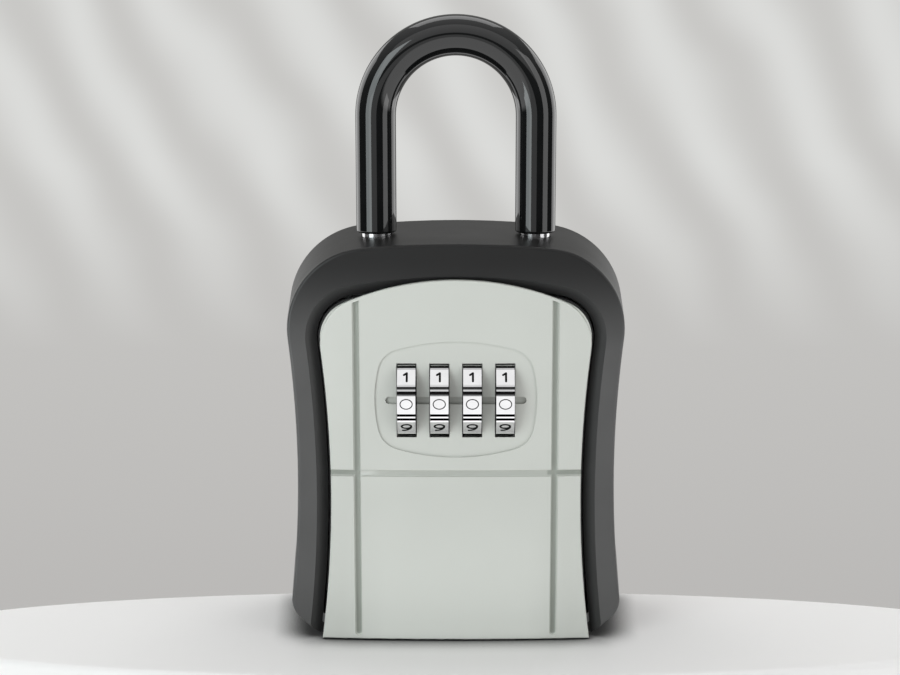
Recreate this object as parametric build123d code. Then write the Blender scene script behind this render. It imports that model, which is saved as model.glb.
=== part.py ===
from build123d import *
import math
import os

# Combination key safe: a drafted case with a U shackle on top, and a front door that
# drops on a hinge at its foot and carries a four-wheel combination lock.
# Millimetres. X is to the right seen from the front, Y is backward and Z is up.
# Depths are measured from the front plane of the case, and the whole model is moved
# at the end so that its origin lies under the middle of its bounding box.

# Overruns: how far a cutter runs past a face or past the whole case, and how far a
# boss, a peg or a tooth grows out of what carries it
PAST = 1.0
FAR = 10.0
ROOT = 1.0
BOSS_ROOT = 0.4

# Case outline, seen from the front
CASE_TOP_Z = 109.8
CASE_TOP_R = 270.0
CASE_CORNER_R = 22.0
CASE_WAIST_HALF = 42.8
CASE_WAIST_Z = 48.0
CASE_SIDE_R = 309.0
CASE_DEPTH = 38.0
ROOF_DRAFT = 2.5
SIDE_DRAFT = 3.7
FOOT_TIP_HALF = 36.1
FOOT_ANGLE = 42.0
FOOT_CORNER_R = 7.0
FOOT_CORNER_TOP_Z = 20.0

# Outer jacket
JACKET_WALL = 2.3
FRAME_T = 3.0
FRAME_EDGE_R = 0.8
BACK_EDGE_R = 1.2

# Bevel round the door opening: its outer line, its width and its depth
BEVEL_TOP_Z = 101.1
BEVEL_TOP_R = 166.0
BEVEL_CORNER_R = 14.2
BEVEL_WAIST_HALF = 37.7
BEVEL_SIDE_R = 332.0
BEVEL_W = 3.0
BEVEL_D = 2.4

# Die-cast inner case
CASE_WALL = 2.2
CASE_FLOOR = 2.4
CASE_BACK = 2.5
SEAT_GAP = 0.1

# Door panel
DOOR_TOP_Z = 100.4
DOOR_TOP_R = 74.0
DOOR_CORNER_R = 12.7
DOOR_WAIST_HALF = 33.8
DOOR_WAIST_Z = 43.0
DOOR_SIDE_R = 315.0
DOOR_FOOT_Z = 0.4
DOOR_PROUD = 1.9
DOOR_CROWN_R = 525.0
DOOR_REAR_Y = 0.6
DOOR_EDGE_R = 0.35
TAB_HALF = 29.0
TAB_REAR_Y = -0.35
RIB_W = 2.0
RIB_REAR_Y = 4.6
RIB_FOOT_Z = 14.0
PLUG_GAP = 1.0
SEAL_GAP = 0.5
SEAL_W = 1.8
SEAL_REAR_Y = 2.3

# Grooves in the door face
GROOVE_X = 26.64
GROOVE_W = 2.0
GROOVE_D = 1.0
GROOVE_FOOT_Z = 2.4
GROOVE_RIM = 0.8
CROSS_GROOVE_Z = 47.6
CROSS_GROOVE_W = 1.9
CROSS_GROOVE_D = 0.95

# Dial pad, its index slot and the dial windows
PAD_Z = 68.0
PAD_HALF_W = 21.8
PAD_HALF_H = 15.9
PAD_SIDE_R = 60.0
PAD_ARCH_R = 70.0
PAD_CORNER_R = 7.0
PAD_D = 0.5
INDEX_HALF = 18.9
INDEX_W = 2.0
INDEX_D = 0.8
WINDOW_W = 5.4
WINDOW_HALF_H = 10.15

# Dial wheels
DIAL_COUNT = 4
DIAL_PITCH = 8.8
DIAL_Z = 67.7
DIAL_Y = 6.0
DIAL_R = 11.9
DIAL_W = 4.9
DIAL_FLATS = 10
FLAT_HALF_ANGLE = 10.5
GRIP_ANGLE = 3.0
GRIP_W = 0.75
GRIP_D = 0.5
WINDOW_CLEAR = 0.35
DIGIT_HALF_W = 1.47
DIGIT_HALF_H = 1.17
DIGIT_PEN = 0.58
ZERO_PEN = 0.27
DIGIT_D = 0.18

# Centre lines of the digits, as shares of their half width and half height: straight
# strokes from x, z to x, z, and arcs with their centre, their half axes, the angle where
# they start and the angle that they sweep
STRAIGHTS = {
    1: [(-0.42, 0.55, 0.1, 1), (0.1, 1, 0.1, -1)],
    2: [(0.71, 0.15, -0.85, -1), (-0.85, -1, 0.9, -1)],
    4: [(0.45, -1, 0.45, 1), (0.45, 1, -0.95, -0.42), (-0.95, -0.42, 0.95, -0.42)],
    5: [(0.8, 1, -0.62, 1), (-0.62, 1, -0.65, 0.02)],
    7: [(-0.85, 1, 0.9, 1), (0.9, 1, -0.25, -1)],
}
ARCS = {
    2: [(0, 0.42, 0.8, 0.58, -28, 193)],
    3: [(0, 0.52, 0.72, 0.48, -80, 235), (0, -0.48, 0.87, 0.52, -155, 245)],
    5: [(0, -0.36, 0.87, 0.64, -155, 297)],
    6: [(0.65, -0.36, 1.52, 1.36, 90, 90)],
    9: [(-0.65, 0.36, 1.52, 1.36, -90, 90)],
}
LOOPS = {
    0: [(0, 0, 1.1, 1.12)],
    6: [(0, -0.36, 0.87, 0.64)],
    8: [(0, 0.52, 0.7, 0.48), (0, -0.46, 0.9, 0.54)],
    9: [(0, 0.36, 0.87, 0.64)],
}

# Code rings and their spindle
SHAFT_FIT = 0.07
RING_BARREL_R = 3.9
RING_FLANGE_R = 5.0
RING_FLANGE_T = 1.1
RING_NECK_R = 3.0
RING_GAP = 0.1
DIAL_SIDE_GAP = 0.15
TOOTH_COUNT = 5
TOOTH_R = 4.95
TOOTH_W = 1.4
TOOTH_L = 1.25
TOOTH_CLEAR = 0.2
GATE_W = 3.0
GATE_FLOOR_R = 3.2
SPINDLE_R = 1.75
COLLAR_R = 3.2
COLLAR_T = 1.7
CLIP_GROOVE_R = 1.4
CLIP_R = 3.2
CLIP_T = 0.7
CLIP_BITE = 0.3
TENON_R = 1.0
SPINDLE_END = 1.4
ARM_GAP = 0.2
RESET_TRAVEL = 1.6

# Chassis of the lock on the door
CHEEK_IN = 19.6
CHEEK_T = 2.0
CHASSIS_FRONT_Y = 1.0
CHASSIS_REAR_Y = 18.4
CHASSIS_FLOOR_Z = 51.8
CHASSIS_FLOOR_T = 1.7
CHASSIS_TOP_Z = 82.5
EAR_Y = 7.5
EAR_T = 1.8
EAR_HALF = 30.4
EAR_FOOT_Z = 54.0
EAR_TOP_Z = 61.0
BRIDGE_HALF = 21.0
BRIDGE_FOOT_Z = 80.4
BRIDGE_TOP_Z = 92.6
BOSS_R = 2.6
LOW_SCREW_X = 27.8
LOW_SCREW_Z = 57.5
TOP_SCREW_X = 17.0
TOP_SCREW_Z = 89.3
COVER_SCREW_R = 1.2
COVER_SCREW_HEAD_R = 2.1
COVER_SCREW_HEAD_T = 0.8
COVER_SCREW_DEPTH = 5.5

# Cover over the lock
COVER_T = 1.2
COVER_WALL = 1.0
COVER_HALF = 25.8
COVER_REAR_Y = 21.2
COVER_FOOT_Z = 50.6
COVER_TOP_Z = 84.0

# Reset slide
SLIDE_Y = 18.6
SLIDE_T = 1.2
SLIDE_HALF_H = 1.9
SLIDE_END_X = -5.0
SLIDE_TAB_X = -10.0
SLIDE_TAB_W = 4.0
SLIDE_TAB_REACH = 2.6
ARM_T = 1.0
ARM_FRONT_Y = 2.5
SLOT_CLEAR = 0.35

# Latch comb with its bolt
COMB_T = 2.4
COMB_HALF = 26.0
COMB_DIAL_GAP = 1.0
COMB_H = 2.4
FINGER_X = 2.75
FINGER_W = 2.5
FINGER_CLEAR = 0.35
BOLT_HALF = 9.0
BOLT_TIP_Z = 96.0
BOLT_BEVEL = 1.3
LATCH_THROW = 2.3
GUIDE_CLEAR = 0.3
GUIDE_W = 2.2
GUIDE_FOOT_GAP = 1.2
GUIDE_TOP_Z = 92.0

# Latch springs
LATCH_SPRING_X = 24.0
LATCH_SPRING_R = 1.45
LATCH_WIRE = 0.5
LATCH_TURNS = 7
SHELF_TOP_Z = 71.4
SHELF_T = 1.6
SHELF_HALF = 2.1
PEG_R = 0.8
PEG_H = 2.0

# Detent spring under the dials
DETENT_T = 0.4
DETENT_FINGER_W = 3.6
DETENT_FRONT_Y = 3.6
DETENT_ROOT_Y = 13.0
DETENT_REAR_Y = 17.0
DETENT_GAP = 0.25
DETENT_BUMP_HALF = 1.2
RIVET_X = 8.8
RIVET_R = 0.9
RIVET_HEAD_R = 1.6
RIVET_HEAD_T = 0.6

# Door hinge
HINGE_Y = 7.5
HINGE_Z = 5.0
HINGE_PIN_R = 1.5
HINGE_FIT = 0.04
HINGE_ARM_R = 2.2
HINGE_ARM_X = 22.0
HINGE_ARM_W = 6.0
HINGE_LUG_W = 3.4
HINGE_LUG_R = 2.5
HINGE_SIDE_GAP = 0.3
DOOR_SWING = 100.0

# Shackle
LEG_X = 21.7
LEG_Y = 18.0
SHACKLE_R = 4.0
SHACKLE_TOP_Z = 169.3
SLEEVE_R = 5.5
SLEEVE_CLEAR = 0.05
SLEEVE_FOOT_Z = 110.6
SLEEVE_LIP_R = 0.7
LEG_END_CHAMFER = 0.8
LEG_CLEAR = 0.25
NOTCH_D = 1.9
NOTCH_CLEAR = 0.2
SHACKLE_LIFT = 26.0
LEG_OUT = 5.2
BUSH_R = 5.3
BUSH_TOP_Z = 105.6

# Shackle lock under the top wall
HOUSING_HALF = 29.5
HOUSING_FRONT_Y = 13.0
HOUSING_FOOT_Z = 86.6
HOUSING_TOP_Z = 102.8
LOCK_PLATE_Z = 92.2
LOCK_PLATE_T = 2.6
LOCK_PLATE_FRONT_Y = 15.6
LOCK_PLATE_REAR_Y = 26.6
LOCK_PLATE_HALF = 26.5
LOCK_PLATE_CLEAR = 0.2
LOCK_FORK_CLEAR = 0.3
LOCK_TRAVEL = 2.0
LOCK_TAB_HALF = 5.0
LOCK_TAB_T = 2.0
LOCK_TAB_FOOT_Z = 81.0
LOCK_SPRING_Y = 24.5
LOCK_SPRING_R = 0.95
LOCK_WIRE = 0.4
LOCK_TURNS = 6
LOCK_SPRING_L = 6.4
POCKET_HALF = 18.0
POCKET_FRONT_Y = 29.0
POCKET_TOP_Z = 100.0
LOCK_COVER_HALF = 28.0
LOCK_COVER_T = 1.2
LOCK_COVER_FOOT_Z = 87.5
LOCK_COVER_TOP_Z = 101.5
LOCK_SCREW_X = 13.0
LOCK_SCREW_LOW_Z = 89.4
LOCK_SCREW_TOP_Z = 98.8
LOCK_SCREW_R = 1.0
LOCK_SCREW_HEAD_R = 2.0
LOCK_SCREW_HEAD_T = 0.7
LOCK_SCREW_L = 6.0
HOUSING_SCREW_X = 24.6
HOUSING_SCREW_Y = 31.0
HOUSING_SCREW_R = 1.5
HOUSING_SCREW_HEAD_R = 2.8
HOUSING_SCREW_HEAD_T = 2.0
CASE_BOSS_R = 3.4
SCREW_BITE = 2.2

# Strike for the latch bolt
STRIKE_Y = 3.1
STRIKE_T = 1.6
STRIKE_HALF = 12.0
BOLT_HOLD = 1.5
STRIKE_TOP_Z = 104.0
STRIKE_REAR_Y = 11.6
STRIKE_SCREW_X = 8.0
STRIKE_SCREW_Y = 8.2
STRIKE_SCREW_R = 1.2
STRIKE_SCREW_HEAD_R = 2.4
STRIKE_SCREW_HEAD_T = 1.5
STRIKE_BOSS_R = 3.0

# Sizes worked out from the ones above
DIAL_FACE_R = DIAL_R * math.cos(math.radians(FLAT_HALF_ANGLE))
DIAL_XS = [(i - (DIAL_COUNT - 1) / 2) * DIAL_PITCH for i in range(DIAL_COUNT)]
CHEEK_OUT = CHEEK_IN + CHEEK_T
CROWN_Y = DOOR_CROWN_R - DOOR_PROUD
CASE_CAVITY_INSET = JACKET_WALL + CASE_WALL
LOCK_PLATE_TOP_Z = LOCK_PLATE_Z + LOCK_PLATE_T
CROWN_CENTRE_Z = SHACKLE_TOP_Z - SLEEVE_R - LEG_X
COVER_SEAT_Y = EAR_Y + EAR_T
ARM_X = -(CHEEK_OUT + RESET_TRAVEL + ARM_T + ARM_GAP)
FLANGE_X = DIAL_W / 2 + DIAL_SIDE_GAP
COMB_FOOT_Z = DIAL_Z + DIAL_R + COMB_DIAL_GAP
HORN_TOP_Z = COMB_FOOT_Z + COMB_H + LATCH_THROW
STRIKE_FOOT_Z = BOLT_TIP_Z + LATCH_THROW - BOLT_HOLD
GUIDE_FOOT_Z = HORN_TOP_Z + GUIDE_FOOT_GAP
LEG_END_Z = CASE_TOP_Z + LEG_OUT - SHACKLE_LIFT
STACK_END_X = DIAL_XS[-1] + FLANGE_X + RING_FLANGE_T
Y_SHIFT = -(CASE_DEPTH + DIAL_Y - DIAL_FACE_R) / 2


def arc(start, middle, end):
    """An arc through three points of a front view."""
    return ThreePointArc(start, middle, end)


def shield(top_z, top_r, corner_r, waist_half, side_r, waist_z, foot_z):
    """A symmetric face: domed top, round shoulders, sides drawn in at the waist."""
    top_c = Vector(0, top_z - top_r)
    side_c = Vector(waist_half + side_r, waist_z)
    far = (side_c - top_c).length
    reach_top, reach_side = top_r - corner_r, side_r + corner_r
    along = (reach_top**2 - reach_side**2 + far**2) / (2 * far)
    across = math.sqrt(reach_top**2 - along**2)
    unit = (side_c - top_c).normalized()
    corner = top_c + unit * along + Vector(-unit.Y, unit.X) * across
    to_top = (corner - top_c).normalized()
    to_side = (side_c - corner).normalized()
    shoulder = corner + to_top * corner_r
    flank = corner + to_side * corner_r
    knee = corner + (to_top + to_side).normalized() * corner_r
    foot_x = side_c.X - math.sqrt(side_r**2 - (foot_z - waist_z) ** 2)
    foot = Vector(foot_x, foot_z)
    waist = Vector(waist_half, waist_z)
    left = [Vector(-p.X, p.Y) for p in (shoulder, knee, flank, waist, foot)]
    edges = [
        Line(left[4], foot),
        arc(foot, waist, flank),
        arc(flank, knee, shoulder),
        arc(shoulder, (0, top_z), left[0]),
        arc(left[0], left[1], left[2]),
        arc(left[2], left[3], left[4]),
    ]
    return make_face(edges)


def foot_corners(inset):
    """The two slanted corners that are cut off an outline at its foot."""
    angle = math.radians(FOOT_ANGLE)
    along = Vector(math.cos(angle), math.sin(angle))
    out = Vector(math.sin(angle), -math.cos(angle))
    start = Vector(FOOT_TIP_HALF, 0) - out * inset
    reach = CASE_WAIST_HALF
    points = [start - along * reach, start + along * reach]
    points += [points[1] + out * reach, points[0] + out * reach]
    right = make_face(Polyline([(p.X, p.Y) for p in points], close=True))
    return right + mirror(right, about=Plane.YZ)


def case_outline(inset, foot_z, flare=0.0):
    """The case's front outline, drawn in all round by inset, with its cut corners.

    Its sides stand flare further out."""
    face = shield(
        CASE_TOP_Z - inset,
        CASE_TOP_R - inset,
        CASE_CORNER_R - inset,
        CASE_WAIST_HALF - inset + flare,
        CASE_SIDE_R + inset - flare,
        CASE_WAIST_Z,
        foot_z,
    )
    face = (face - foot_corners(inset)).face()
    corners = face.vertices().filter_by(lambda v: foot_z + PAST < v.Y < FOOT_CORNER_TOP_Z)
    return fillet(corners, FOOT_CORNER_R - inset)


def opening_outline(inset, foot_z):
    """The bevel's outer line, drawn in by inset; the opening is BEVEL_W inside it."""
    return shield(
        BEVEL_TOP_Z - inset,
        BEVEL_TOP_R - inset,
        BEVEL_CORNER_R - inset,
        BEVEL_WAIST_HALF - inset,
        BEVEL_SIDE_R + inset,
        DOOR_WAIST_Z,
        foot_z,
    )


def slab(face, front_y, back_y, taper=0.0):
    """Stand a front-view face up between two depths; it narrows forward with taper."""
    drawn = [Pos(0, 0, -back_y) * part for part in face.faces()]
    facing = [part if part.normal_at().Z > 0 else -part for part in drawn]
    return Rot(90, 0, 0) * extrude(facing, amount=back_y - front_y, taper=taper)


def block(x0, x1, y0, y1, z0, z1):
    """A box between two corners."""
    centre = Pos((x0 + x1) / 2, (y0 + y1) / 2, (z0 + z1) / 2)
    return centre * Box(x1 - x0, y1 - y0, z1 - z0)


def rod_x(radius, x0, x1, y, z):
    """A round bar along X."""
    return Pos((x0 + x1) / 2, y, z) * Rot(0, 90, 0) * Cylinder(radius, x1 - x0)


def rod_y(radius, y0, y1, x, z):
    """A round bar along Y."""
    return Pos(x, (y0 + y1) / 2, z) * Rot(90, 0, 0) * Cylinder(radius, y1 - y0)


def rod_z(radius, z0, z1, x, y):
    """A round bar along Z."""
    return Pos(x, y, (z0 + z1) / 2) * Cylinder(radius, z1 - z0)


def both_sides(shape):
    """A shape and its mirror image across the middle plane."""
    return [shape, mirror(shape, about=Plane.YZ)]


def jacket_shell():
    """Outer jacket: drafted walls with a front frame, open at the back and the foot."""
    spread = CASE_DEPTH * math.tan(math.radians(ROOF_DRAFT))
    flare = CASE_DEPTH * math.tan(math.radians(SIDE_DRAFT)) - spread
    front = case_outline(0, -spread)
    back = Pos(0, 0, -CASE_DEPTH) * case_outline(-spread, -spread, flare)
    outer = Rot(90, 0, 0) * loft([back, front], ruled=True)
    outer = outer - block(-CASE_TOP_Z, CASE_TOP_Z, -FAR, CASE_DEPTH + FAR, -2 * FAR, 0)
    for y, radius in ((0, FRAME_EDGE_R), (CASE_DEPTH, BACK_EDGE_R)):
        rim = outer.edges().filter_by_position(Axis.Y, y - 0.01, y + 0.01)
        outer = fillet(rim.filter_by(lambda e: e.center().Z > 0.5), radius)
    return outer


def outer_jacket():
    """The jacket with its opening, bevel and the two holes for the shackle."""
    body = jacket_shell()
    body -= slab(case_outline(JACKET_WALL, -FAR), FRAME_T, CASE_DEPTH + PAST)
    body -= slab(opening_outline(BEVEL_W, -FAR), -PAST, FRAME_T + PAST)
    wide = opening_outline(0, -FAR)
    narrow = Pos(0, 0, -BEVEL_D) * opening_outline(BEVEL_W, -FAR)
    body -= Rot(90, 0, 0) * loft([wide.face(), narrow.face()], ruled=True)
    for x in (-LEG_X, LEG_X):
        body -= rod_z(SHACKLE_R + LEG_CLEAR, HOUSING_TOP_Z, CASE_TOP_Z + FAR, x, LEG_Y)
    return body


def hinge_notch(x):
    """The notch in the case floor that a hinge arm swings down through."""
    half = HINGE_ARM_W / 2 + HINGE_SIDE_GAP
    swing = math.radians(DOOR_SWING)
    along = (HINGE_ARM_R * math.cos(swing) - HINGE_Z) / math.sin(swing)
    reach = along * math.cos(swing) + HINGE_ARM_R * math.sin(swing)
    back = HINGE_Y + max(reach, HINGE_ARM_R) + HINGE_SIDE_GAP
    return block(x - half, x + half, 0, back, -PAST, HINGE_Z)


def hinge_lugs(x):
    """The pair of lugs that carries one hinge pin, either side of an arm."""
    lugs = []
    for side in (-1, 1):
        inner = x + side * (HINGE_ARM_W / 2 + HINGE_SIDE_GAP)
        outer = inner + side * HINGE_LUG_W
        low, high = min(inner, outer), max(inner, outer)
        lug = rod_x(HINGE_LUG_R, low, high, HINGE_Y, HINGE_Z)
        lug += block(
            low, high, HINGE_Y - HINGE_LUG_R, HINGE_Y + HINGE_LUG_R, CASE_FLOOR / 2, HINGE_Z
        )
        lugs.append(lug - rod_x(HINGE_PIN_R, low - PAST, high + PAST, HINGE_Y, HINGE_Z))
    return lugs


def case_shell():
    """Die-cast case: a tub open to the front, with hinge lugs and screw bosses."""
    tub = slab(case_outline(JACKET_WALL + SEAT_GAP, 0), FRAME_T + SEAT_GAP, CASE_DEPTH)
    hollow = case_outline(CASE_CAVITY_INSET, CASE_FLOOR)
    tub -= slab(hollow, 0, CASE_DEPTH - CASE_BACK)
    roof = slab(case_outline(CASE_CAVITY_INSET - ROOT, 0), FRAME_T + ROOT, CASE_DEPTH - ROOT)
    for x in (-LEG_X, LEG_X):
        tub -= rod_z(BUSH_R + SEAT_GAP, HOUSING_TOP_Z, CASE_TOP_Z, x, LEG_Y)
    for x in (-HOUSING_SCREW_X, HOUSING_SCREW_X):
        boss = rod_z(CASE_BOSS_R, HOUSING_TOP_Z + SEAT_GAP, CASE_TOP_Z, x, HOUSING_SCREW_Y)
        tub += boss & roof
        top = HOUSING_TOP_Z + SCREW_BITE
        tub -= rod_z(HOUSING_SCREW_R, HOUSING_TOP_Z, top, x, HOUSING_SCREW_Y)
    for x in (-STRIKE_SCREW_X, STRIKE_SCREW_X):
        boss = rod_z(STRIKE_BOSS_R, STRIKE_TOP_Z, CASE_TOP_Z, x, STRIKE_SCREW_Y)
        tub += boss & roof
        tub -= rod_z(STRIKE_SCREW_R, STRIKE_TOP_Z, STRIKE_TOP_Z + SCREW_BITE, x, STRIKE_SCREW_Y)
    for x in (-HINGE_ARM_X, HINGE_ARM_X):
        tub -= hinge_notch(x)
        for lug in hinge_lugs(x):
            tub += lug
    return tub


def hinge_pins():
    """Two steel pins, each pressed into its pair of lugs."""
    reach = HINGE_ARM_W / 2 + HINGE_SIDE_GAP + HINGE_LUG_W
    return [
        rod_x(HINGE_PIN_R, x - reach, x + reach, HINGE_Y, HINGE_Z)
        for x in (-HINGE_ARM_X, HINGE_ARM_X)
    ]


def crown_body(depth):
    """All that lies more than depth behind the door's crowned face."""
    height = 2 * DOOR_TOP_Z
    return Pos(0, CROWN_Y, DOOR_WAIST_Z) * Cylinder(DOOR_CROWN_R - depth, height)


def face_cut(face, depth):
    """A cutter that sinks a front-view face by depth, following the crown."""
    return slab(face, -DOOR_PROUD - PAST, DOOR_REAR_Y) - crown_body(depth)


def crown_y(x):
    """How deep the door's face lies at a distance from the middle."""
    return CROWN_Y - math.sqrt(DOOR_CROWN_R**2 - x**2)


def groove_radius(width, depth):
    """The radius of a round groove that is width wide and depth deep."""
    return (width**2 / 4 + depth**2) / (2 * depth)


def door_grooves():
    """Two upright grooves that run out above the foot, and one across."""
    radius = groove_radius(GROOVE_W, GROOVE_D)
    inside = slab(door_outline(GROOVE_RIM, 0), -DOOR_PROUD - FAR, DOOR_REAR_Y)
    cutters = []
    for x in (-GROOVE_X, GROOVE_X):
        y = crown_y(x) - radius + GROOVE_D
        cutters.append(rod_z(radius, GROOVE_FOOT_Z, DOOR_TOP_Z, x, y) & inside)
        cutters.append(Pos(x, y, GROOVE_FOOT_Z) * Sphere(radius))
    radius = groove_radius(CROSS_GROOVE_W, CROSS_GROOVE_D)
    reach = DOOR_CROWN_R + radius - CROSS_GROOVE_D
    cutters.append(Pos(0, CROWN_Y, CROSS_GROOVE_Z) * Torus(reach, radius))
    return cutters


def pad_outline():
    """The dial pad's outline: four shallow arcs with round corners."""
    w, h = PAD_HALF_W, PAD_HALF_H
    side_drop = PAD_SIDE_R - math.sqrt(PAD_SIDE_R**2 - h**2)
    arch_drop = PAD_ARCH_R - math.sqrt(PAD_ARCH_R**2 - w**2)
    cx, cz = w - side_drop, h - arch_drop
    edges = [
        arc((-cx, cz), (0, h), (cx, cz)),
        arc((cx, cz), (w, 0), (cx, -cz)),
        arc((cx, -cz), (0, -h), (-cx, -cz)),
        arc((-cx, -cz), (-w, 0), (-cx, cz)),
    ]
    face = make_face(edges)
    return Pos(0, PAD_Z) * fillet(face.vertices(), PAD_CORNER_R)


def dial_windows():
    """The four windows, relieved behind to follow the wheels."""
    cutters = []
    for x in DIAL_XS:
        half = WINDOW_W / 2
        low, high = DIAL_Z - WINDOW_HALF_H, DIAL_Z + WINDOW_HALF_H
        cutters.append(block(x - half, x + half, -DOOR_PROUD - PAST, DOOR_REAR_Y + PAST, low, high))
        cutters.append(rod_x(DIAL_R + WINDOW_CLEAR, x - half, x + half, DIAL_Y, DIAL_Z))
    return cutters


def door_outline(inset, foot_z):
    """The door's front outline."""
    return shield(
        DOOR_TOP_Z - inset,
        DOOR_TOP_R - inset,
        DOOR_CORNER_R - inset,
        DOOR_WAIST_HALF - inset,
        DOOR_SIDE_R + inset,
        DOOR_WAIST_Z,
        foot_z,
    )


def door_rib():
    """The stiffening rib behind the door, inside the seal."""
    outer = BEVEL_W + SEAL_GAP + SEAL_W + SEAT_GAP
    ring = opening_outline(outer, RIB_FOOT_Z) - opening_outline(outer + RIB_W, RIB_FOOT_Z - PAST)
    return slab(ring, DOOR_REAR_Y, RIB_REAR_Y)


def screw_spots():
    """The four places where screws hold the lock to the door."""
    return [
        (-LOW_SCREW_X, LOW_SCREW_Z),
        (LOW_SCREW_X, LOW_SCREW_Z),
        (-TOP_SCREW_X, TOP_SCREW_Z),
        (TOP_SCREW_X, TOP_SCREW_Z),
    ]


def door_panel():
    """Crowned door with grooves, pad and windows, a rib, bosses and hinge arms."""
    plate = slab(door_outline(0, DOOR_FOOT_Z), -DOOR_PROUD - PAST, DOOR_REAR_Y)
    plate = plate & crown_body(0)
    rim = plate.edges().filter_by(lambda e: e.center().Y < -0.1)
    plate = fillet(rim, DOOR_EDGE_R)
    tab_foot = BEVEL_TOP_Z - BEVEL_W - PLUG_GAP - RIB_W
    plate -= block(-TAB_HALF, TAB_HALF, TAB_REAR_Y, DOOR_REAR_Y + PAST, tab_foot, DOOR_TOP_Z + PAST)
    plate += slab(opening_outline(BEVEL_W + PLUG_GAP, RIB_FOOT_Z), TAB_REAR_Y, DOOR_REAR_Y)
    plate += door_rib()
    for x, z in screw_spots():
        plate += rod_y(BOSS_R, DOOR_REAR_Y - BOSS_ROOT, EAR_Y, x, z)
        plate -= rod_y(COVER_SCREW_R, COVER_SEAT_Y - COVER_SCREW_DEPTH, EAR_Y + PAST, x, z)
    for cutter in door_grooves() + dial_windows():
        plate -= cutter
    plate -= face_cut(pad_outline(), PAD_D)
    slot = SlotCenterToCenter(2 * INDEX_HALF - INDEX_W, INDEX_W)
    plate -= face_cut(Pos(0, DIAL_Z) * slot, PAD_D + INDEX_D)
    for x in (-HINGE_ARM_X, HINGE_ARM_X):
        plate += hinge_arm(x)
    return plate


def hinge_arm(x):
    """One arm from the door's foot back to its hinge pin."""
    low, high = x - HINGE_ARM_W / 2, x + HINGE_ARM_W / 2
    arm = rod_x(HINGE_ARM_R, low, high, HINGE_Y, HINGE_Z)
    z0, z1 = HINGE_Z - HINGE_ARM_R, HINGE_Z + HINGE_ARM_R
    arm += block(low, high, DOOR_REAR_Y - BOSS_ROOT, HINGE_Y, z0, z1)
    return arm - rod_x(HINGE_PIN_R + HINGE_FIT, low - PAST, high + PAST, HINGE_Y, HINGE_Z)


def door_seal():
    """Rubber strip round the rib, open at the foot, wiping the opening's wall."""
    outer = BEVEL_W + SEAL_GAP
    ring = opening_outline(outer, RIB_FOOT_Z) - opening_outline(outer + SEAL_W, RIB_FOOT_Z - PAST)
    return slab(ring, DOOR_REAR_Y, SEAL_REAR_Y)


def dial_blank():
    """A wheel with ten flats for the digits and finger grips between them."""
    wheel = rod_x(DIAL_R, -DIAL_W / 2, DIAL_W / 2, 0, 0)
    step = 360 / DIAL_FLATS
    half = DIAL_W / 2 + PAST
    for i in range(DIAL_FLATS):
        turn = Rot(i * step, 0, 0)
        wheel -= turn * block(-half, half, -DIAL_R - PAST, -DIAL_FACE_R, -DIAL_R, DIAL_R)
        for side in (-1, 1):
            grip = Rot(i * step + step / 2 + side * GRIP_ANGLE, 0, 0)
            edge = GRIP_W / 2
            wheel -= grip * block(-half, half, -DIAL_R - PAST, -DIAL_R + GRIP_D, -edge, edge)
    wheel -= rod_x(RING_BARREL_R + SHAFT_FIT, -half, half, 0, 0)
    return wheel


def digit_outline(number):
    """A digit drawn with a round pen: a fine one for the zero, a bold one for the rest."""
    pen = DIGIT_PEN if number else ZERO_PEN
    wide, high = DIGIT_HALF_W, DIGIT_HALF_H
    strokes = []
    for x0, z0, x1, z1 in STRAIGHTS.get(number, []):
        strokes.append(Line((x0 * wide, z0 * high), (x1 * wide, z1 * high)))
    for x, z, a, b, start, sweep in ARCS.get(number, []):
        centre = (x * wide, z * high)
        bend = EllipticalCenterArc(centre, a * wide, b * high, start_angle=start, arc_size=sweep)
        strokes.append(bend)
    shape = Sketch()
    for stroke in strokes:
        shape += trace(stroke, pen)
        for end in (stroke @ 0, stroke @ 1):
            shape += Pos(end.X, end.Y) * Circle(pen / 2)
    for x, z, a, b in LOOPS.get(number, []):
        a, b = a * wide, b * high
        ring = Ellipse(a + pen / 2, b + pen / 2) - Ellipse(a - pen / 2, b - pen / 2)
        shape += Pos(x * wide, z * high) * ring
    return shape


def dial_digit(number):
    """One digit as a thin solid, set into its flat."""
    digit = slab(digit_outline(number), -DIAL_FACE_R, -DIAL_FACE_R + DIGIT_D)
    return Rot(-number * 360 / DIAL_FLATS, 0, 0) * digit


def tooth_ring(clear):
    """The teeth that lock a code ring to its wheel, widened by clear for the pockets."""
    x1 = DIAL_W / 2 - SEAT_GAP
    teeth = []
    for i in range(TOOTH_COUNT):
        half = TOOTH_W / 2 + clear
        root = RING_BARREL_R - BOSS_ROOT
        tooth = block(x1 - TOOTH_L - clear, x1, -half, half, root, TOOTH_R + clear)
        teeth.append(Rot(i * 360 / TOOTH_COUNT, 0, 0) * tooth)
    return teeth


def dial_wheel(digits):
    """A finished wheel: digits engraved and pockets for the ring's teeth."""
    wheel = dial_blank()
    for digit in digits:
        wheel -= digit
    for pocket in tooth_ring(TOOTH_CLEAR):
        wheel -= pocket
        wheel -= Pos(SEAT_GAP, 0, 0) * pocket
    return wheel


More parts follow.
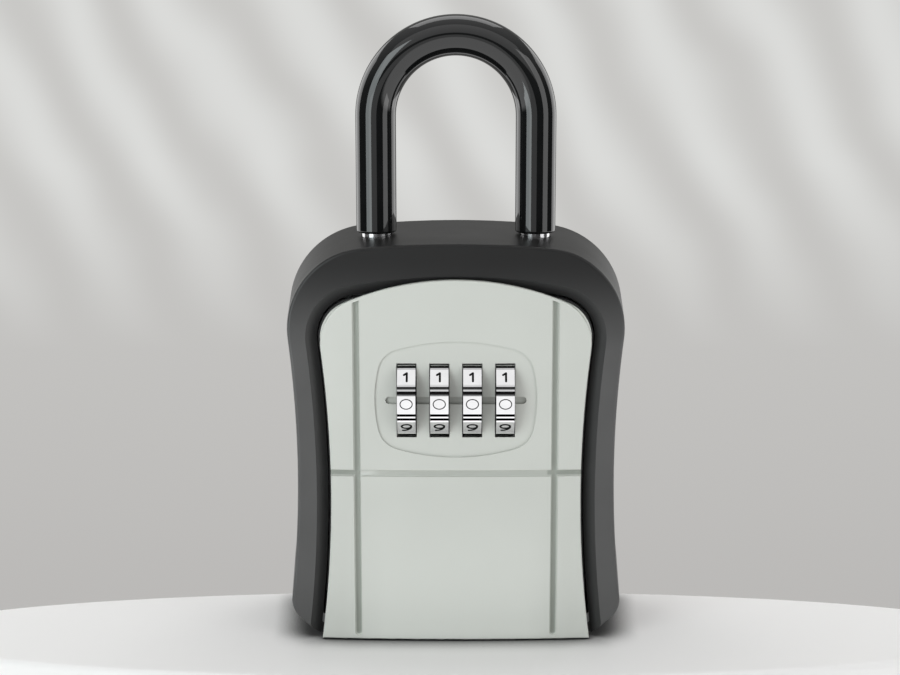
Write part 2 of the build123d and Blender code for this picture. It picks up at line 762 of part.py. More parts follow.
def code_ring(last):
    """A code ring: barrel with teeth, a gated flange and a spacer neck."""
    left = -DIAL_W / 2 + SEAT_GAP / 2
    flange_end = FLANGE_X + RING_FLANGE_T
    ring = rod_x(RING_BARREL_R, left, FLANGE_X, 0, 0)
    ring += rod_x(RING_FLANGE_R, FLANGE_X, flange_end, 0, 0)
    for tooth in tooth_ring(0):
        ring += tooth
    if not last:
        end = DIAL_PITCH + left - RING_GAP
        ring += rod_x(RING_NECK_R, flange_end, end, 0, 0)
    gate = block(
        FLANGE_X, flange_end + PAST, -GATE_W / 2, GATE_W / 2, GATE_FLOOR_R, RING_FLANGE_R + PAST
    )
    ring -= gate
    return ring - rod_x(SPINDLE_R + SHAFT_FIT, left - PAST, DIAL_PITCH + PAST, 0, 0)


def dial_spindle():
    """Steel spindle with its collar, its clip groove and a tenon for the slide."""
    right = CHEEK_OUT + SPINDLE_END
    spindle = rod_x(SPINDLE_R, ARM_X + ARM_T, right, DIAL_Y, DIAL_Z)
    spindle += rod_x(TENON_R, ARM_X, ARM_X + ARM_T, DIAL_Y, DIAL_Z)
    collar_end = DIAL_XS[0] - DIAL_W / 2 + SEAT_GAP / 2 - RING_GAP
    spindle += rod_x(COLLAR_R, collar_end - COLLAR_T, collar_end, DIAL_Y, DIAL_Z)
    start = STACK_END_X + RING_GAP
    groove = rod_x(COLLAR_R, start, start + CLIP_T, DIAL_Y, DIAL_Z)
    groove -= rod_x(CLIP_GROOVE_R, start - PAST, start + CLIP_T + PAST, DIAL_Y, DIAL_Z)
    return spindle - groove


def spindle_clip():
    """Open retaining clip in the spindle's groove, behind the last code ring."""
    start = STACK_END_X + RING_GAP
    clip = rod_x(CLIP_R, start, start + CLIP_T, DIAL_Y, DIAL_Z)
    clip -= rod_x(CLIP_GROOVE_R, start - PAST, start + CLIP_T + PAST, DIAL_Y, DIAL_Z)
    mouth = CLIP_GROOVE_R - CLIP_BITE
    foot = DIAL_Z - CLIP_R - PAST
    return clip - block(
        start - PAST, start + CLIP_T + PAST, DIAL_Y - mouth, DIAL_Y + mouth, foot, DIAL_Z
    )


def reset_slide():
    """Slide that shifts the spindle: a plate, an arm to the spindle and a thumb tab."""
    low, high = DIAL_Z - SLIDE_HALF_H, DIAL_Z + SLIDE_HALF_H
    rear = SLIDE_Y + SLIDE_T
    slide = block(ARM_X, SLIDE_END_X, SLIDE_Y, rear, low, high)
    slide += block(ARM_X, ARM_X + ARM_T, ARM_FRONT_Y, rear, low, high)
    half = SLIDE_TAB_W / 2
    tab_rear = rear + SLIDE_TAB_REACH
    slide += block(SLIDE_TAB_X - half, SLIDE_TAB_X + half, rear, tab_rear, low, high)
    return slide - rod_x(TENON_R, ARM_X - PAST, ARM_X + ARM_T + PAST, DIAL_Y, DIAL_Z)


def dial_chassis():
    """Die-cast carrier: floor, two cheeks, ears, spring shelves and the bolt's guide."""
    inner = block(
        -CHEEK_IN,
        CHEEK_IN,
        0,
        CHASSIS_REAR_Y + PAST,
        CHASSIS_FLOOR_Z + CHASSIS_FLOOR_T,
        CHASSIS_TOP_Z + PAST,
    )
    body = block(
        -CHEEK_OUT, CHEEK_OUT, CHASSIS_FRONT_Y, CHASSIS_REAR_Y, CHASSIS_FLOOR_Z, CHASSIS_TOP_Z
    )
    body -= inner
    horn = block(
        CHEEK_IN, CHEEK_OUT, CHASSIS_FRONT_Y, COVER_SEAT_Y, CHASSIS_TOP_Z - ROOT, HORN_TOP_Z
    )
    for part in both_sides(horn):
        body += part
    for ear in both_sides(block(CHEEK_OUT, EAR_HALF, EAR_Y, COVER_SEAT_Y, EAR_FOOT_Z, EAR_TOP_Z)):
        body += ear
    body += block(-BRIDGE_HALF, BRIDGE_HALF, EAR_Y, COVER_SEAT_Y, BRIDGE_FOOT_Z, BRIDGE_TOP_Z)
    rail_in = BOLT_HALF + GUIDE_CLEAR
    rail = block(
        rail_in, rail_in + GUIDE_W, DIAL_Y - COMB_T / 2, EAR_Y, GUIDE_FOOT_Z, GUIDE_TOP_Z
    )
    for part in both_sides(rail):
        body += part
    comb_gap = COMB_T / 2 + GUIDE_CLEAR
    slot_foot = COMB_FOOT_Z - GUIDE_CLEAR
    body -= block(
        -CHEEK_OUT - PAST,
        CHEEK_OUT + PAST,
        DIAL_Y - comb_gap,
        DIAL_Y + comb_gap,
        slot_foot,
        HORN_TOP_Z + PAST,
    )
    for part in both_sides(spring_shelf()):
        body += part
    body -= rod_x(SPINDLE_R + SHAFT_FIT, -CHEEK_OUT - PAST, CHEEK_OUT + PAST, DIAL_Y, DIAL_Z)
    for x, z in screw_spots():
        body -= rod_y(COVER_SCREW_R, EAR_Y - PAST, COVER_SEAT_Y + PAST, x, z)
    for x in (-RIVET_X, RIVET_X):
        foot = CHASSIS_FLOOR_Z - PAST
        body -= rod_z(RIVET_R, foot, CHASSIS_FLOOR_Z + CHASSIS_FLOOR_T + PAST, x, rivet_y())
    return body


def spring_shelf():
    """The shelf and peg outside the right cheek that carry a latch spring."""
    end = LATCH_SPRING_X + SHELF_HALF
    shelf = block(
        CHEEK_OUT, end, DIAL_Y - SHELF_HALF, DIAL_Y + SHELF_HALF, SHELF_TOP_Z - SHELF_T, SHELF_TOP_Z
    )
    return shelf + rod_z(
        PEG_R, SHELF_TOP_Z - BOSS_ROOT, SHELF_TOP_Z + PEG_H, LATCH_SPRING_X, DIAL_Y
    )


def rivet_y():
    """The depth at which the detent spring is riveted down."""
    return (DETENT_ROOT_Y + DETENT_REAR_Y) / 2


def detent_spring():
    """Sprung steel comb: one finger under each wheel, with a bump that clicks."""
    base = CHASSIS_FLOOR_Z + CHASSIS_FLOOR_T
    top = base + DETENT_T
    half = DIAL_XS[-1] + DETENT_FINGER_W / 2
    comb = block(-half, half, DETENT_ROOT_Y, DETENT_REAR_Y, base, top)
    crest = DIAL_Z - DIAL_R - DETENT_GAP
    for x in DIAL_XS:
        low, high = x - DETENT_FINGER_W / 2, x + DETENT_FINGER_W / 2
        comb += block(low, high, DETENT_FRONT_Y, DETENT_ROOT_Y, base, top)
        foot = top - DETENT_T / 2
        corners = [
            (DIAL_Y - DETENT_BUMP_HALF, foot), (DIAL_Y, crest), (DIAL_Y + DETENT_BUMP_HALF, foot)
        ]
        bump = make_face(Plane.YZ * Polyline(corners, close=True))
        comb += Pos(x, 0, 0) * extrude(bump, amount=DETENT_FINGER_W / 2, both=True)
    for x in (-RIVET_X, RIVET_X):
        comb -= rod_z(RIVET_R, base - PAST, top + PAST, x, rivet_y())
    return comb


def detent_rivets():
    """Two rivets that hold the detent spring down on the chassis floor."""
    base = CHASSIS_FLOOR_Z + CHASSIS_FLOOR_T + DETENT_T
    rivets = []
    for x in (-RIVET_X, RIVET_X):
        rivet = rod_z(RIVET_R, CHASSIS_FLOOR_Z, base, x, rivet_y())
        rivets.append(rivet + rod_z(RIVET_HEAD_R, base, base + RIVET_HEAD_T, x, rivet_y()))
    return rivets


def mechanism_cover():
    """Pressed steel cover: a flange on the ears and a raised box over the lock."""
    rear = COVER_SEAT_Y + COVER_T
    cover = block(-EAR_HALF, EAR_HALF, COVER_SEAT_Y, rear, EAR_FOOT_Z, EAR_TOP_Z)
    cover += block(-BRIDGE_HALF, BRIDGE_HALF, COVER_SEAT_Y, rear, COVER_FOOT_Z, BRIDGE_TOP_Z)
    cover += block(
        -COVER_HALF, COVER_HALF, COVER_SEAT_Y, COVER_REAR_Y, COVER_FOOT_Z, COVER_TOP_Z
    )
    half = COVER_HALF - COVER_WALL
    cover -= block(
        -half,
        half,
        0,
        COVER_REAR_Y - COVER_WALL,
        COVER_FOOT_Z + COVER_WALL,
        COVER_TOP_Z - COVER_WALL,
    )
    reach = SLIDE_TAB_W / 2 + SLOT_CLEAR
    tall = SLIDE_HALF_H + SLOT_CLEAR
    cover -= block(
        SLIDE_TAB_X - reach,
        SLIDE_TAB_X + reach + RESET_TRAVEL,
        SLIDE_Y,
        COVER_REAR_Y + PAST,
        DIAL_Z - tall,
        DIAL_Z + tall,
    )
    for x, z in screw_spots():
        cover -= rod_y(COVER_SCREW_R, 0, COVER_REAR_Y, x, z)
        cover -= rod_y(COVER_SCREW_HEAD_R, rear - COVER_SCREW_HEAD_T, COVER_REAR_Y, x, z)
    return cover


def mechanism_screws():
    """Four flat-head screws that hold the cover and the chassis to the door."""
    rear = COVER_SEAT_Y + COVER_T
    screws = []
    for x, z in screw_spots():
        neck = rear - COVER_SCREW_HEAD_T
        screw = rod_y(COVER_SCREW_HEAD_R, neck, rear, x, z)
        screw += rod_y(COVER_SCREW_R, COVER_SEAT_Y - COVER_SCREW_DEPTH, neck, x, z)
        screws.append(screw)
    return screws


def latch_comb():
    """Latch comb: a bar with one finger for each code ring, and the bolt above."""
    y0, y1 = DIAL_Y - COMB_T / 2, DIAL_Y + COMB_T / 2
    comb = block(-COMB_HALF, COMB_HALF, y0, y1, COMB_FOOT_Z, COMB_FOOT_Z + COMB_H)
    tip = DIAL_Z + RING_FLANGE_R + FINGER_CLEAR
    for x in DIAL_XS:
        start = x + FINGER_X
        comb += block(start, start + FINGER_W, y0, y1, tip, COMB_FOOT_Z)
    bolt = block(-BOLT_HALF, BOLT_HALF, y0, y1, COMB_FOOT_Z, BOLT_TIP_Z)
    nose = bolt.edges().filter_by(Axis.X).sort_by(Axis.Z)[-2:].sort_by(Axis.Y)[0]
    comb += chamfer(nose, BOLT_BEVEL)
    for x in (-LATCH_SPRING_X, LATCH_SPRING_X):
        comb += rod_z(PEG_R, COMB_FOOT_Z - PEG_H, COMB_FOOT_Z + BOSS_ROOT, x, DIAL_Y)
    return comb


def coil(radius, wire, turns, length):
    """A compression spring along +Z from the origin, in one unbroken wire."""
    rise = length - wire
    path = Pos(0, 0, wire / 2) * Helix(pitch=rise / turns, height=rise, radius=radius)
    start = path @ 0
    section = Plane(origin=start, z_dir=path % 0) * Circle(wire / 2)
    gap = rise / turns - wire
    print(f"spring of {turns} turns: least gap between its turns {gap:.2f} mm")
    return sweep(section, path=path)


def latch_springs():
    """Two springs that push the latch comb up."""
    length = COMB_FOOT_Z - SHELF_TOP_Z
    spring = coil(LATCH_SPRING_R, LATCH_WIRE, LATCH_TURNS, length)
    return [Pos(x, DIAL_Y, SHELF_TOP_Z) * spring for x in (-LATCH_SPRING_X, LATCH_SPRING_X)]


def channel_box(grow):
    """The space of the lock plate over its whole travel, grown by a clearance."""
    return block(
        -LOCK_PLATE_HALF - LOCK_TRAVEL / 2 - grow,
        LOCK_PLATE_HALF + LOCK_TRAVEL / 2 + grow,
        HOUSING_FRONT_Y - PAST,
        LOCK_PLATE_REAR_Y + grow,
        LOCK_PLATE_Z - grow,
        LOCK_PLATE_TOP_Z + grow,
    )


def lock_housing():
    """Die-cast block under the roof that takes both legs and the lock plate."""
    back = CASE_DEPTH - CASE_BACK
    body = block(
        -HOUSING_HALF, HOUSING_HALF, HOUSING_FRONT_Y, back, HOUSING_FOOT_Z, HOUSING_TOP_Z
    )
    body -= channel_box(LOCK_PLATE_CLEAR)
    for x in (-LEG_X, LEG_X):
        floor = LEG_END_Z - SEAT_GAP
        body -= rod_z(SHACKLE_R + LEG_CLEAR, floor, HOUSING_TOP_Z + PAST, x, LEG_Y)
    body -= block(
        -LOCK_TAB_HALF - LOCK_TRAVEL / 2 - LOCK_FORK_CLEAR,
        LOCK_TAB_HALF + LOCK_TRAVEL / 2 + LOCK_FORK_CLEAR,
        LOCK_PLATE_REAR_Y - LOCK_TAB_T - LOCK_FORK_CLEAR,
        LOCK_PLATE_REAR_Y + LOCK_PLATE_CLEAR,
        HOUSING_FOOT_Z - PAST,
        LOCK_PLATE_Z,
    )
    body -= block(
        -POCKET_HALF, POCKET_HALF, POCKET_FRONT_Y, back + PAST, HOUSING_FOOT_Z - PAST, POCKET_TOP_Z
    )
    for x in (-HOUSING_SCREW_X, HOUSING_SCREW_X):
        neck = HOUSING_FOOT_Z + HOUSING_SCREW_HEAD_T
        body -= rod_z(HOUSING_SCREW_R, HOUSING_FOOT_Z, HOUSING_TOP_Z + PAST, x, HOUSING_SCREW_Y)
        body -= rod_z(HOUSING_SCREW_HEAD_R, HOUSING_FOOT_Z - PAST, neck, x, HOUSING_SCREW_Y)
    for x, z in lock_screw_spots():
        body -= rod_y(LOCK_SCREW_R, HOUSING_FRONT_Y - PAST, lock_screw_end(), x, z)
    return body


def lock_screw_spots():
    """Where the screws of the lock housing's cover sit."""
    return [
        (x, z)
        for x in (-LOCK_SCREW_X, LOCK_SCREW_X)
        for z in (LOCK_SCREW_LOW_Z, LOCK_SCREW_TOP_Z)
    ]


def lock_screw_end():
    """How deep the lock cover's screws reach."""
    return HOUSING_FRONT_Y - LOCK_COVER_T + LOCK_SCREW_L


def lock_cover():
    """Plate that closes the front of the lock housing."""
    front = HOUSING_FRONT_Y - LOCK_COVER_T
    plate = block(
        -LOCK_COVER_HALF,
        LOCK_COVER_HALF,
        front,
        HOUSING_FRONT_Y,
        LOCK_COVER_FOOT_Z,
        LOCK_COVER_TOP_Z,
    )
    for x, z in lock_screw_spots():
        plate -= rod_y(LOCK_SCREW_R, front - PAST, HOUSING_FRONT_Y + PAST, x, z)
        plate -= rod_y(LOCK_SCREW_HEAD_R, front - PAST, front + LOCK_SCREW_HEAD_T, x, z)
    return plate


def lock_cover_screws():
    """Four screws that hold the lock cover."""
    front = HOUSING_FRONT_Y - LOCK_COVER_T
    screws = []
    for x, z in lock_screw_spots():
        screw = rod_y(LOCK_SCREW_HEAD_R, front, front + LOCK_SCREW_HEAD_T, x, z)
        screws.append(screw + rod_y(LOCK_SCREW_R, front, lock_screw_end(), x, z))
    return screws


def lock_housing_screws():
    """Two screws that hold the lock housing up to the roof of the case."""
    screws = []
    for x in (-HOUSING_SCREW_X, HOUSING_SCREW_X):
        neck = HOUSING_FOOT_Z + HOUSING_SCREW_HEAD_T
        top = HOUSING_TOP_Z + SCREW_BITE
        screw = rod_z(HOUSING_SCREW_HEAD_R, HOUSING_FOOT_Z, neck, x, HOUSING_SCREW_Y)
        screws.append(screw + rod_z(HOUSING_SCREW_R, neck, top, x, HOUSING_SCREW_Y))
    return screws


def shackle_lock_plate():
    """Sliding plate with a square-shouldered fork for each leg, and a thumb tab."""
    left, right = -LOCK_PLATE_HALF - LOCK_TRAVEL / 2, LOCK_PLATE_HALF - LOCK_TRAVEL / 2
    plate = block(
        left, right, LOCK_PLATE_FRONT_Y, LOCK_PLATE_REAR_Y, LOCK_PLATE_Z, LOCK_PLATE_TOP_Z
    )
    reach = SHACKLE_R + LOCK_FORK_CLEAR
    for x in (-LEG_X, LEG_X):
        plate -= rod_z(reach, LOCK_PLATE_Z - PAST, LOCK_PLATE_TOP_Z + PAST, x, LEG_Y)
        plate -= block(
            x - reach,
            x + reach,
            LOCK_PLATE_FRONT_Y - PAST,
            LEG_Y,
            LOCK_PLATE_Z - PAST,
            LOCK_PLATE_TOP_Z + PAST,
        )
        plate -= block(
            x - reach, x, LEG_Y - PAST, LEG_Y + reach, LOCK_PLATE_Z - PAST, LOCK_PLATE_TOP_Z + PAST
        )
    tab_x = -LOCK_TRAVEL / 2
    plate += block(
        tab_x - LOCK_TAB_HALF,
        tab_x + LOCK_TAB_HALF,
        LOCK_PLATE_REAR_Y - LOCK_TAB_T,
        LOCK_PLATE_REAR_Y,
        LOCK_TAB_FOOT_Z,
        LOCK_PLATE_Z,
    )
    slot = LOCK_SPRING_R + LOCK_WIRE
    end = spring_wall_x() + LOCK_SPRING_L
    plate -= block(
        left - PAST,
        end,
        LOCK_SPRING_Y - slot,
        LOCK_SPRING_Y + slot,
        LOCK_PLATE_Z - PAST,
        LOCK_PLATE_TOP_Z + PAST,
    )
    return plate


def spring_wall_x():
    """The channel's left wall, where the lock plate's spring starts."""
    return -LOCK_PLATE_HALF - LOCK_TRAVEL / 2 - LOCK_PLATE_CLEAR


def lock_plate_spring():
    """Spring that pushes the lock plate into the legs' notches."""
    spring = coil(LOCK_SPRING_R, LOCK_WIRE, LOCK_TURNS, LOCK_SPRING_L)
    middle = (LOCK_PLATE_Z + LOCK_PLATE_TOP_Z) / 2
    return Pos(spring_wall_x(), LOCK_SPRING_Y, middle) * Rot(0, 90, 0) * spring


def door_strike():
    """Angled steel strike under the front of the roof, that holds the bolt."""
    plate = block(
        -STRIKE_HALF, STRIKE_HALF, STRIKE_Y, STRIKE_Y + STRIKE_T, STRIKE_FOOT_Z, STRIKE_TOP_Z
    )
    plate += block(
        -STRIKE_HALF, STRIKE_HALF, STRIKE_Y, STRIKE_REAR_Y, STRIKE_TOP_Z - STRIKE_T, STRIKE_TOP_Z
    )
    for x in (-STRIKE_SCREW_X, STRIKE_SCREW_X):
        plate -= rod_z(STRIKE_SCREW_R, STRIKE_FOOT_Z, STRIKE_TOP_Z + PAST, x, STRIKE_SCREW_Y)
    return plate


def strike_screws():
    """Two screws that hold the strike up to its bosses."""
    under = STRIKE_TOP_Z - STRIKE_T
    screws = []
    for x in (-STRIKE_SCREW_X, STRIKE_SCREW_X):
        low = under - STRIKE_SCREW_HEAD_T
        screw = rod_z(STRIKE_SCREW_HEAD_R, low, under, x, STRIKE_SCREW_Y)
        top = STRIKE_TOP_Z + SCREW_BITE
        screws.append(screw + rod_z(STRIKE_SCREW_R, under, top, x, STRIKE_SCREW_Y))
    return screws


def leg_bushes():
    """Two plastic bushes in the roof that guide the shackle's legs."""
    bushes = []
    for x in (-LEG_X, LEG_X):
        bush = rod_z(BUSH_R, HOUSING_TOP_Z, BUSH_TOP_Z, x, LEG_Y)
        bushes.append(bush - rod_z(SHACKLE_R + LEG_CLEAR, 0, CASE_TOP_Z, x, LEG_Y))
    return bushes


def u_bar(radius, foot_z):
    """A round bar along the shackle's middle line."""
    bar = rod_z(radius, foot_z, CROWN_CENTRE_Z, -LEG_X, LEG_Y)
    bar += rod_z(radius, foot_z, CROWN_CENTRE_Z, LEG_X, LEG_Y)
    ring = Pos(0, LEG_Y, CROWN_CENTRE_Z) * Rot(90, 0, 0) * Torus(LEG_X, radius)
    half = LEG_X + radius + PAST
    upper = block(-half, half, LEG_Y - half, LEG_Y + half, CROWN_CENTRE_Z, CROWN_CENTRE_Z + half)
    return bar + (ring & upper)


def shackle_bar():
    """Bent steel bar with a notch near the end of each leg."""
    bar = u_bar(SHACKLE_R, LEG_END_Z)
    ends = bar.edges().filter_by_position(Axis.Z, LEG_END_Z - 0.01, LEG_END_Z + 0.01)
    bar = chamfer(ends, LEG_END_CHAMFER)
    for x in (-LEG_X, LEG_X):
        edge = x - SHACKLE_R
        bar -= block(
            edge - PAST,
            edge + NOTCH_D,
            LEG_Y - SHACKLE_R - PAST,
            LEG_Y + SHACKLE_R + PAST,
            LOCK_PLATE_Z - NOTCH_CLEAR,
            LOCK_PLATE_TOP_Z + NOTCH_CLEAR,
        )
    return bar


def shackle_sleeve():
    """Glossy plastic sleeve over the bar, down to just above the roof."""
    sleeve = u_bar(SLEEVE_R, SLEEVE_FOOT_Z)
    foot = sleeve.edges().filter_by_position(Axis.Z, SLEEVE_FOOT_Z - 0.01, SLEEVE_FOOT_Z + 0.01)
    sleeve = fillet(foot, SLEEVE_LIP_R)
    return sleeve - u_bar(SHACKLE_R + SLEEVE_CLEAR, SLEEVE_FOOT_Z - PAST)


def write(name, *solids):
    """Write one node, moved to the model's origin."""
    moved = [Pos(0, Y_SHIFT, 0) * solid for solid in solids]
    export_step(moved[0] if len(moved) == 1 else Compound(moved), f"parts/{name}.step")


os.makedirs("parts", exist_ok=True)
write("outer_jacket", outer_jacket())
write("case_shell", case_shell())
write("hinge_pins", *hinge_pins())
write("lock_housing", lock_housing())
write("lock_cover", lock_cover())
write("lock_cover_screws", *lock_cover_screws())
write("lock_housing_screws", *lock_housing_screws())
write("leg_bushes", *leg_bushes())
write("door_strike", door_strike())
write("strike_screws", *strike_screws())
write("shackle_bar", shackle_bar())
write("shackle_sleeve", shackle_sleeve())
write("shackle_lock_plate", shackle_lock_plate())
write("lock_plate_spring", lock_plate_spring())
write("door_panel", door_panel())
write("door_seal", door_seal())
write("dial_chassis", dial_chassis())
write("mechanism_cover", mechanism_cover())
write("mechanism_screws", *mechanism_screws())
write("detent_spring", detent_spring())
write("detent_rivets", *detent_rivets())
write("latch_comb", latch_comb())
write("latch_springs", *latch_springs())
write("dial_spindle", dial_spindle())
write("spindle_clip", spindle_clip())
write("reset_slide", reset_slide())

digits = [dial_digit(number) for number in range(DIAL_FLATS)]
wheel = dial_wheel(digits)
for i, x in enumerate(DIAL_XS):
    place = Pos(x, DIAL_Y, DIAL_Z)
    write(f"dial_wheel_{i + 1}", place * wheel)
    write(f"dial_digits_{i + 1}", *[place * digit for digit in digits])
    write(f"code_ring_{i + 1}", place * code_ring(last=i == DIAL_COUNT - 1))
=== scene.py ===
import math

import bmesh
import bpy
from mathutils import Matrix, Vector


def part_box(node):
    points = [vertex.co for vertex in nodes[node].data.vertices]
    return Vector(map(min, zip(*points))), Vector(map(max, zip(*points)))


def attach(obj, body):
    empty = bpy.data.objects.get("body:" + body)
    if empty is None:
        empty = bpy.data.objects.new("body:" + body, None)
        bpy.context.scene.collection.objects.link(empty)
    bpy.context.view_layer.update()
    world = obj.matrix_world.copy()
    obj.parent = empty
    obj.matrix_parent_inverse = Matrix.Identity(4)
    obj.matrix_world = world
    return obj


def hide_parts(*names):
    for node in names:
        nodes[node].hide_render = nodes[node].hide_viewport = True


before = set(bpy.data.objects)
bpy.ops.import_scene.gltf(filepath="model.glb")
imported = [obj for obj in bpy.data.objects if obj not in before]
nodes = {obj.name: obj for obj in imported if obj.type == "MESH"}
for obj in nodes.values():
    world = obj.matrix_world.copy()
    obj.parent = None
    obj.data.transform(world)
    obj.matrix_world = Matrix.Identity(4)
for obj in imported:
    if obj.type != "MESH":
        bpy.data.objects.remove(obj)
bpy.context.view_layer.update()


# Camera: a long lens a little above the safe, tilted down, as the photograph was taken.
# A small shift sets the safe where it stands in the picture.

CAMERA_PLACE = (0, -0.4870, 0.1779)
CAMERA_TILT = 11.2

lens = bpy.data.cameras.new("photo_lens")
lens.lens = 72
lens.sensor_width = 36
lens.shift_x = -0.0065
camera = bpy.data.objects.new("photo_camera", lens)
camera.location = CAMERA_PLACE
camera.rotation_euler = (math.radians(90 - CAMERA_TILT), 0, 0)
bpy.context.scene.collection.objects.link(camera)
bpy.context.scene.camera = camera
bpy.context.scene.view_settings.view_transform = "Standard"


# Table: a small oval top of white board with an eased edge, which belongs to the scene
# only. The safe stands loose on it, and a painted contact shadow darkens its tone close round what
# touches it.

TABLE_HALF_W, TABLE_HALF_D = 0.155, 0.035
TABLE_BACK_Y = 0.0245
TABLE_T = 0.008
TABLE_EASE = 0.002
TABLE_INNER = 0.02
EASE_STEPS = 6
OVAL_STEPS = 256
TABLE_WHITE = (0.88, 0.87, 0.86, 1)
TABLE_ROUGH = 0.5
CONTACT_REACH = 0.010
CONTACT_CLOSED, CONTACT_OPEN = 0.40, 0.92
PAINTED_CONTACT_SHADOW_TONE = (0.04, 0.04, 0.04, 1)
CONTACT_RAYS = 8


def link(mesh, name):
    """Put a mesh into the scene as an object at the origin."""
    thing = bpy.data.objects.new(name, mesh)
    bpy.context.scene.collection.objects.link(thing)
    return thing


def oval(name, profile):
    """The closed oval plate of the table from (distance inside the edge, height) points."""
    shape = bmesh.new()
    rings = []
    for inside, height in profile:
        steps = OVAL_STEPS if inside < TABLE_HALF_D else 1
        half_w = TABLE_HALF_W - inside if steps > 1 else 0
        half_d = TABLE_HALF_D - inside
        ring = []
        for i in range(steps):
            turn = math.tau * i / OVAL_STEPS
            x = half_w * math.cos(turn)
            y = TABLE_BACK_Y - TABLE_HALF_D + half_d * math.sin(turn)
            ring.append(shape.verts.new((x, y, height)))
        rings.append(ring)
    for low, high in zip(rings, rings[1:]):
        for i in range(OVAL_STEPS):
            spots = (low, i), (low, i + 1), (high, i + 1), (high, i)
            corners = [ring[k % len(ring)] for ring, k in spots]
            shape.faces.new(list(dict.fromkeys(corners)))
    bmesh.ops.recalc_face_normals(shape, faces=shape.faces)
    mesh = bpy.data.meshes.new(name)
    shape.to_mesh(mesh)
    shape.free()
    return link(mesh, name)


def node(tree, kind, mode=None, **settings):
    """A node with its operation and some of its inputs, which are set by name."""
    made = tree.nodes.new(kind)
    if mode:
        made.operation = mode
    for name, value in settings.items():
        made.inputs[name.replace("_", " ")].default_value = value
    return made


def tone_mix(tree, **tones):
    """A node that mixes the colours A and B."""
    made = tree.nodes.new("ShaderNodeMix")
    made.data_type = "RGBA"
    for name, tone in tones.items():
        made.inputs[name].default_value = tone
    return made


def join(tree, *pairs):
    """Join pairs of sockets, each from an output to an input."""
    for start, end in pairs:
        tree.links.new(start, end)


edge = []
for i in range(EASE_STEPS + 1):
    a = math.radians(90 / EASE_STEPS * i)
    edge.append((TABLE_EASE * (1 - math.sin(a)), -TABLE_EASE * (1 - math.cos(a))))
rim = [(inside, -TABLE_T - height) for inside, height in reversed(edge)]
top, underside = [(TABLE_HALF_D, 0), (TABLE_INNER, 0)], [(TABLE_HALF_D, -TABLE_T)]
table = oval("table_top", top + edge + rim + underside)

white = bpy.data.materials.new("table_white")
white.use_nodes = True
tree = white.node_tree
body = tree.nodes["Principled BSDF"]
body.inputs["Roughness"].default_value = TABLE_ROUGH
# Painted contact shadow: ambient occlusion darkens the white toward near black close to the safe.
painted_contact_occlusion = node(tree, "ShaderNodeAmbientOcclusion", Distance=CONTACT_REACH)
painted_contact_occlusion.samples = CONTACT_RAYS
painted_shade = node(tree, "ShaderNodeMapRange", From_Min=CONTACT_CLOSED, From_Max=CONTACT_OPEN)
tone = tone_mix(tree, A=PAINTED_CONTACT_SHADOW_TONE, B=TABLE_WHITE)
join(
    tree,
    (painted_contact_occlusion.outputs["AO"], painted_shade.inputs["Value"]),
    (painted_shade.outputs["Result"], tone.inputs["Factor"]),
    (tone.outputs["Result"], body.inputs["Base Color"]),
)
table.data.materials.append(white)


# Wall: a plain pale wall far behind the table, painted lighter toward the top, where soft
# slanted painted bands of light lie on it. It belongs to the scene only and glows by itself,
# for the camera more than for what it lights.

WALL_Y = 1.6
WALL_HALF_W = 3
WALL_FOOT_Z, WALL_TOP_Z = -2, 2.5
LOW_Z, HIGH_Z = -0.56, 0.0
LOW_TONE = (0.495, 0.486, 0.475, 1)
HIGH_TONE = (0.585, 0.580, 0.565, 1)
BANDS_FROM_Z, BANDS_FULL_Z = -0.25, -0.03
PAINTED_BAND_LIGHT_TONE = (0.705, 0.708, 0.694, 1)
BAND_SLANT = 28
BAND_SCALE = 2.7
BAND_PHASE = 1.6
BAND_WANDER = 2.2
BAND_DETAIL = 1.0
BAND_DETAIL_SCALE = 2.0
GLOW_UNSEEN = 0.5

wall_mesh = bpy.data.meshes.new("wall")
corners = [
    (-WALL_HALF_W, WALL_Y, WALL_FOOT_Z),
    (WALL_HALF_W, WALL_Y, WALL_FOOT_Z),
    (WALL_HALF_W, WALL_Y, WALL_TOP_Z),
    (-WALL_HALF_W, WALL_Y, WALL_TOP_Z),
]
wall_mesh.from_pydata(corners, [], [(0, 1, 2, 3)])
wall = link(wall_mesh, "wall")

pale = bpy.data.materials.new("wall_pale")
pale.use_nodes = True
tree = pale.node_tree
tree.nodes.clear()
place = node(tree, "ShaderNodeTexCoord")
split = node(tree, "ShaderNodeSeparateXYZ")
painted_height_fade = node(tree, "ShaderNodeMapRange", From_Min=LOW_Z, From_Max=HIGH_Z)
high = node(tree, "ShaderNodeMapRange", From_Min=BANDS_FROM_Z, From_Max=BANDS_FULL_Z)
slant = node(tree, "ShaderNodeMapping", Rotation=(0, math.radians(BAND_SLANT), 0))
bands = node(
    tree,
    "ShaderNodeTexWave",
    Scale=BAND_SCALE,
    Phase_Offset=BAND_PHASE,
    Distortion=BAND_WANDER,
    Detail=BAND_DETAIL,
    Detail_Scale=BAND_DETAIL_SCALE,
)
both = node(tree, "ShaderNodeMath", "MULTIPLY")
# Painted light: a gradient lighter toward the top, then painted bands of light over it.
shade = tone_mix(tree, A=LOW_TONE, B=HIGH_TONE)
painted_light_bands = tone_mix(tree, B=PAINTED_BAND_LIGHT_TONE)
seen = node(tree, "ShaderNodeLightPath")
strength = node(tree, "ShaderNodeMapRange", To_Min=GLOW_UNSEEN)
glow = node(tree, "ShaderNodeEmission")
out = node(tree, "ShaderNodeOutputMaterial")
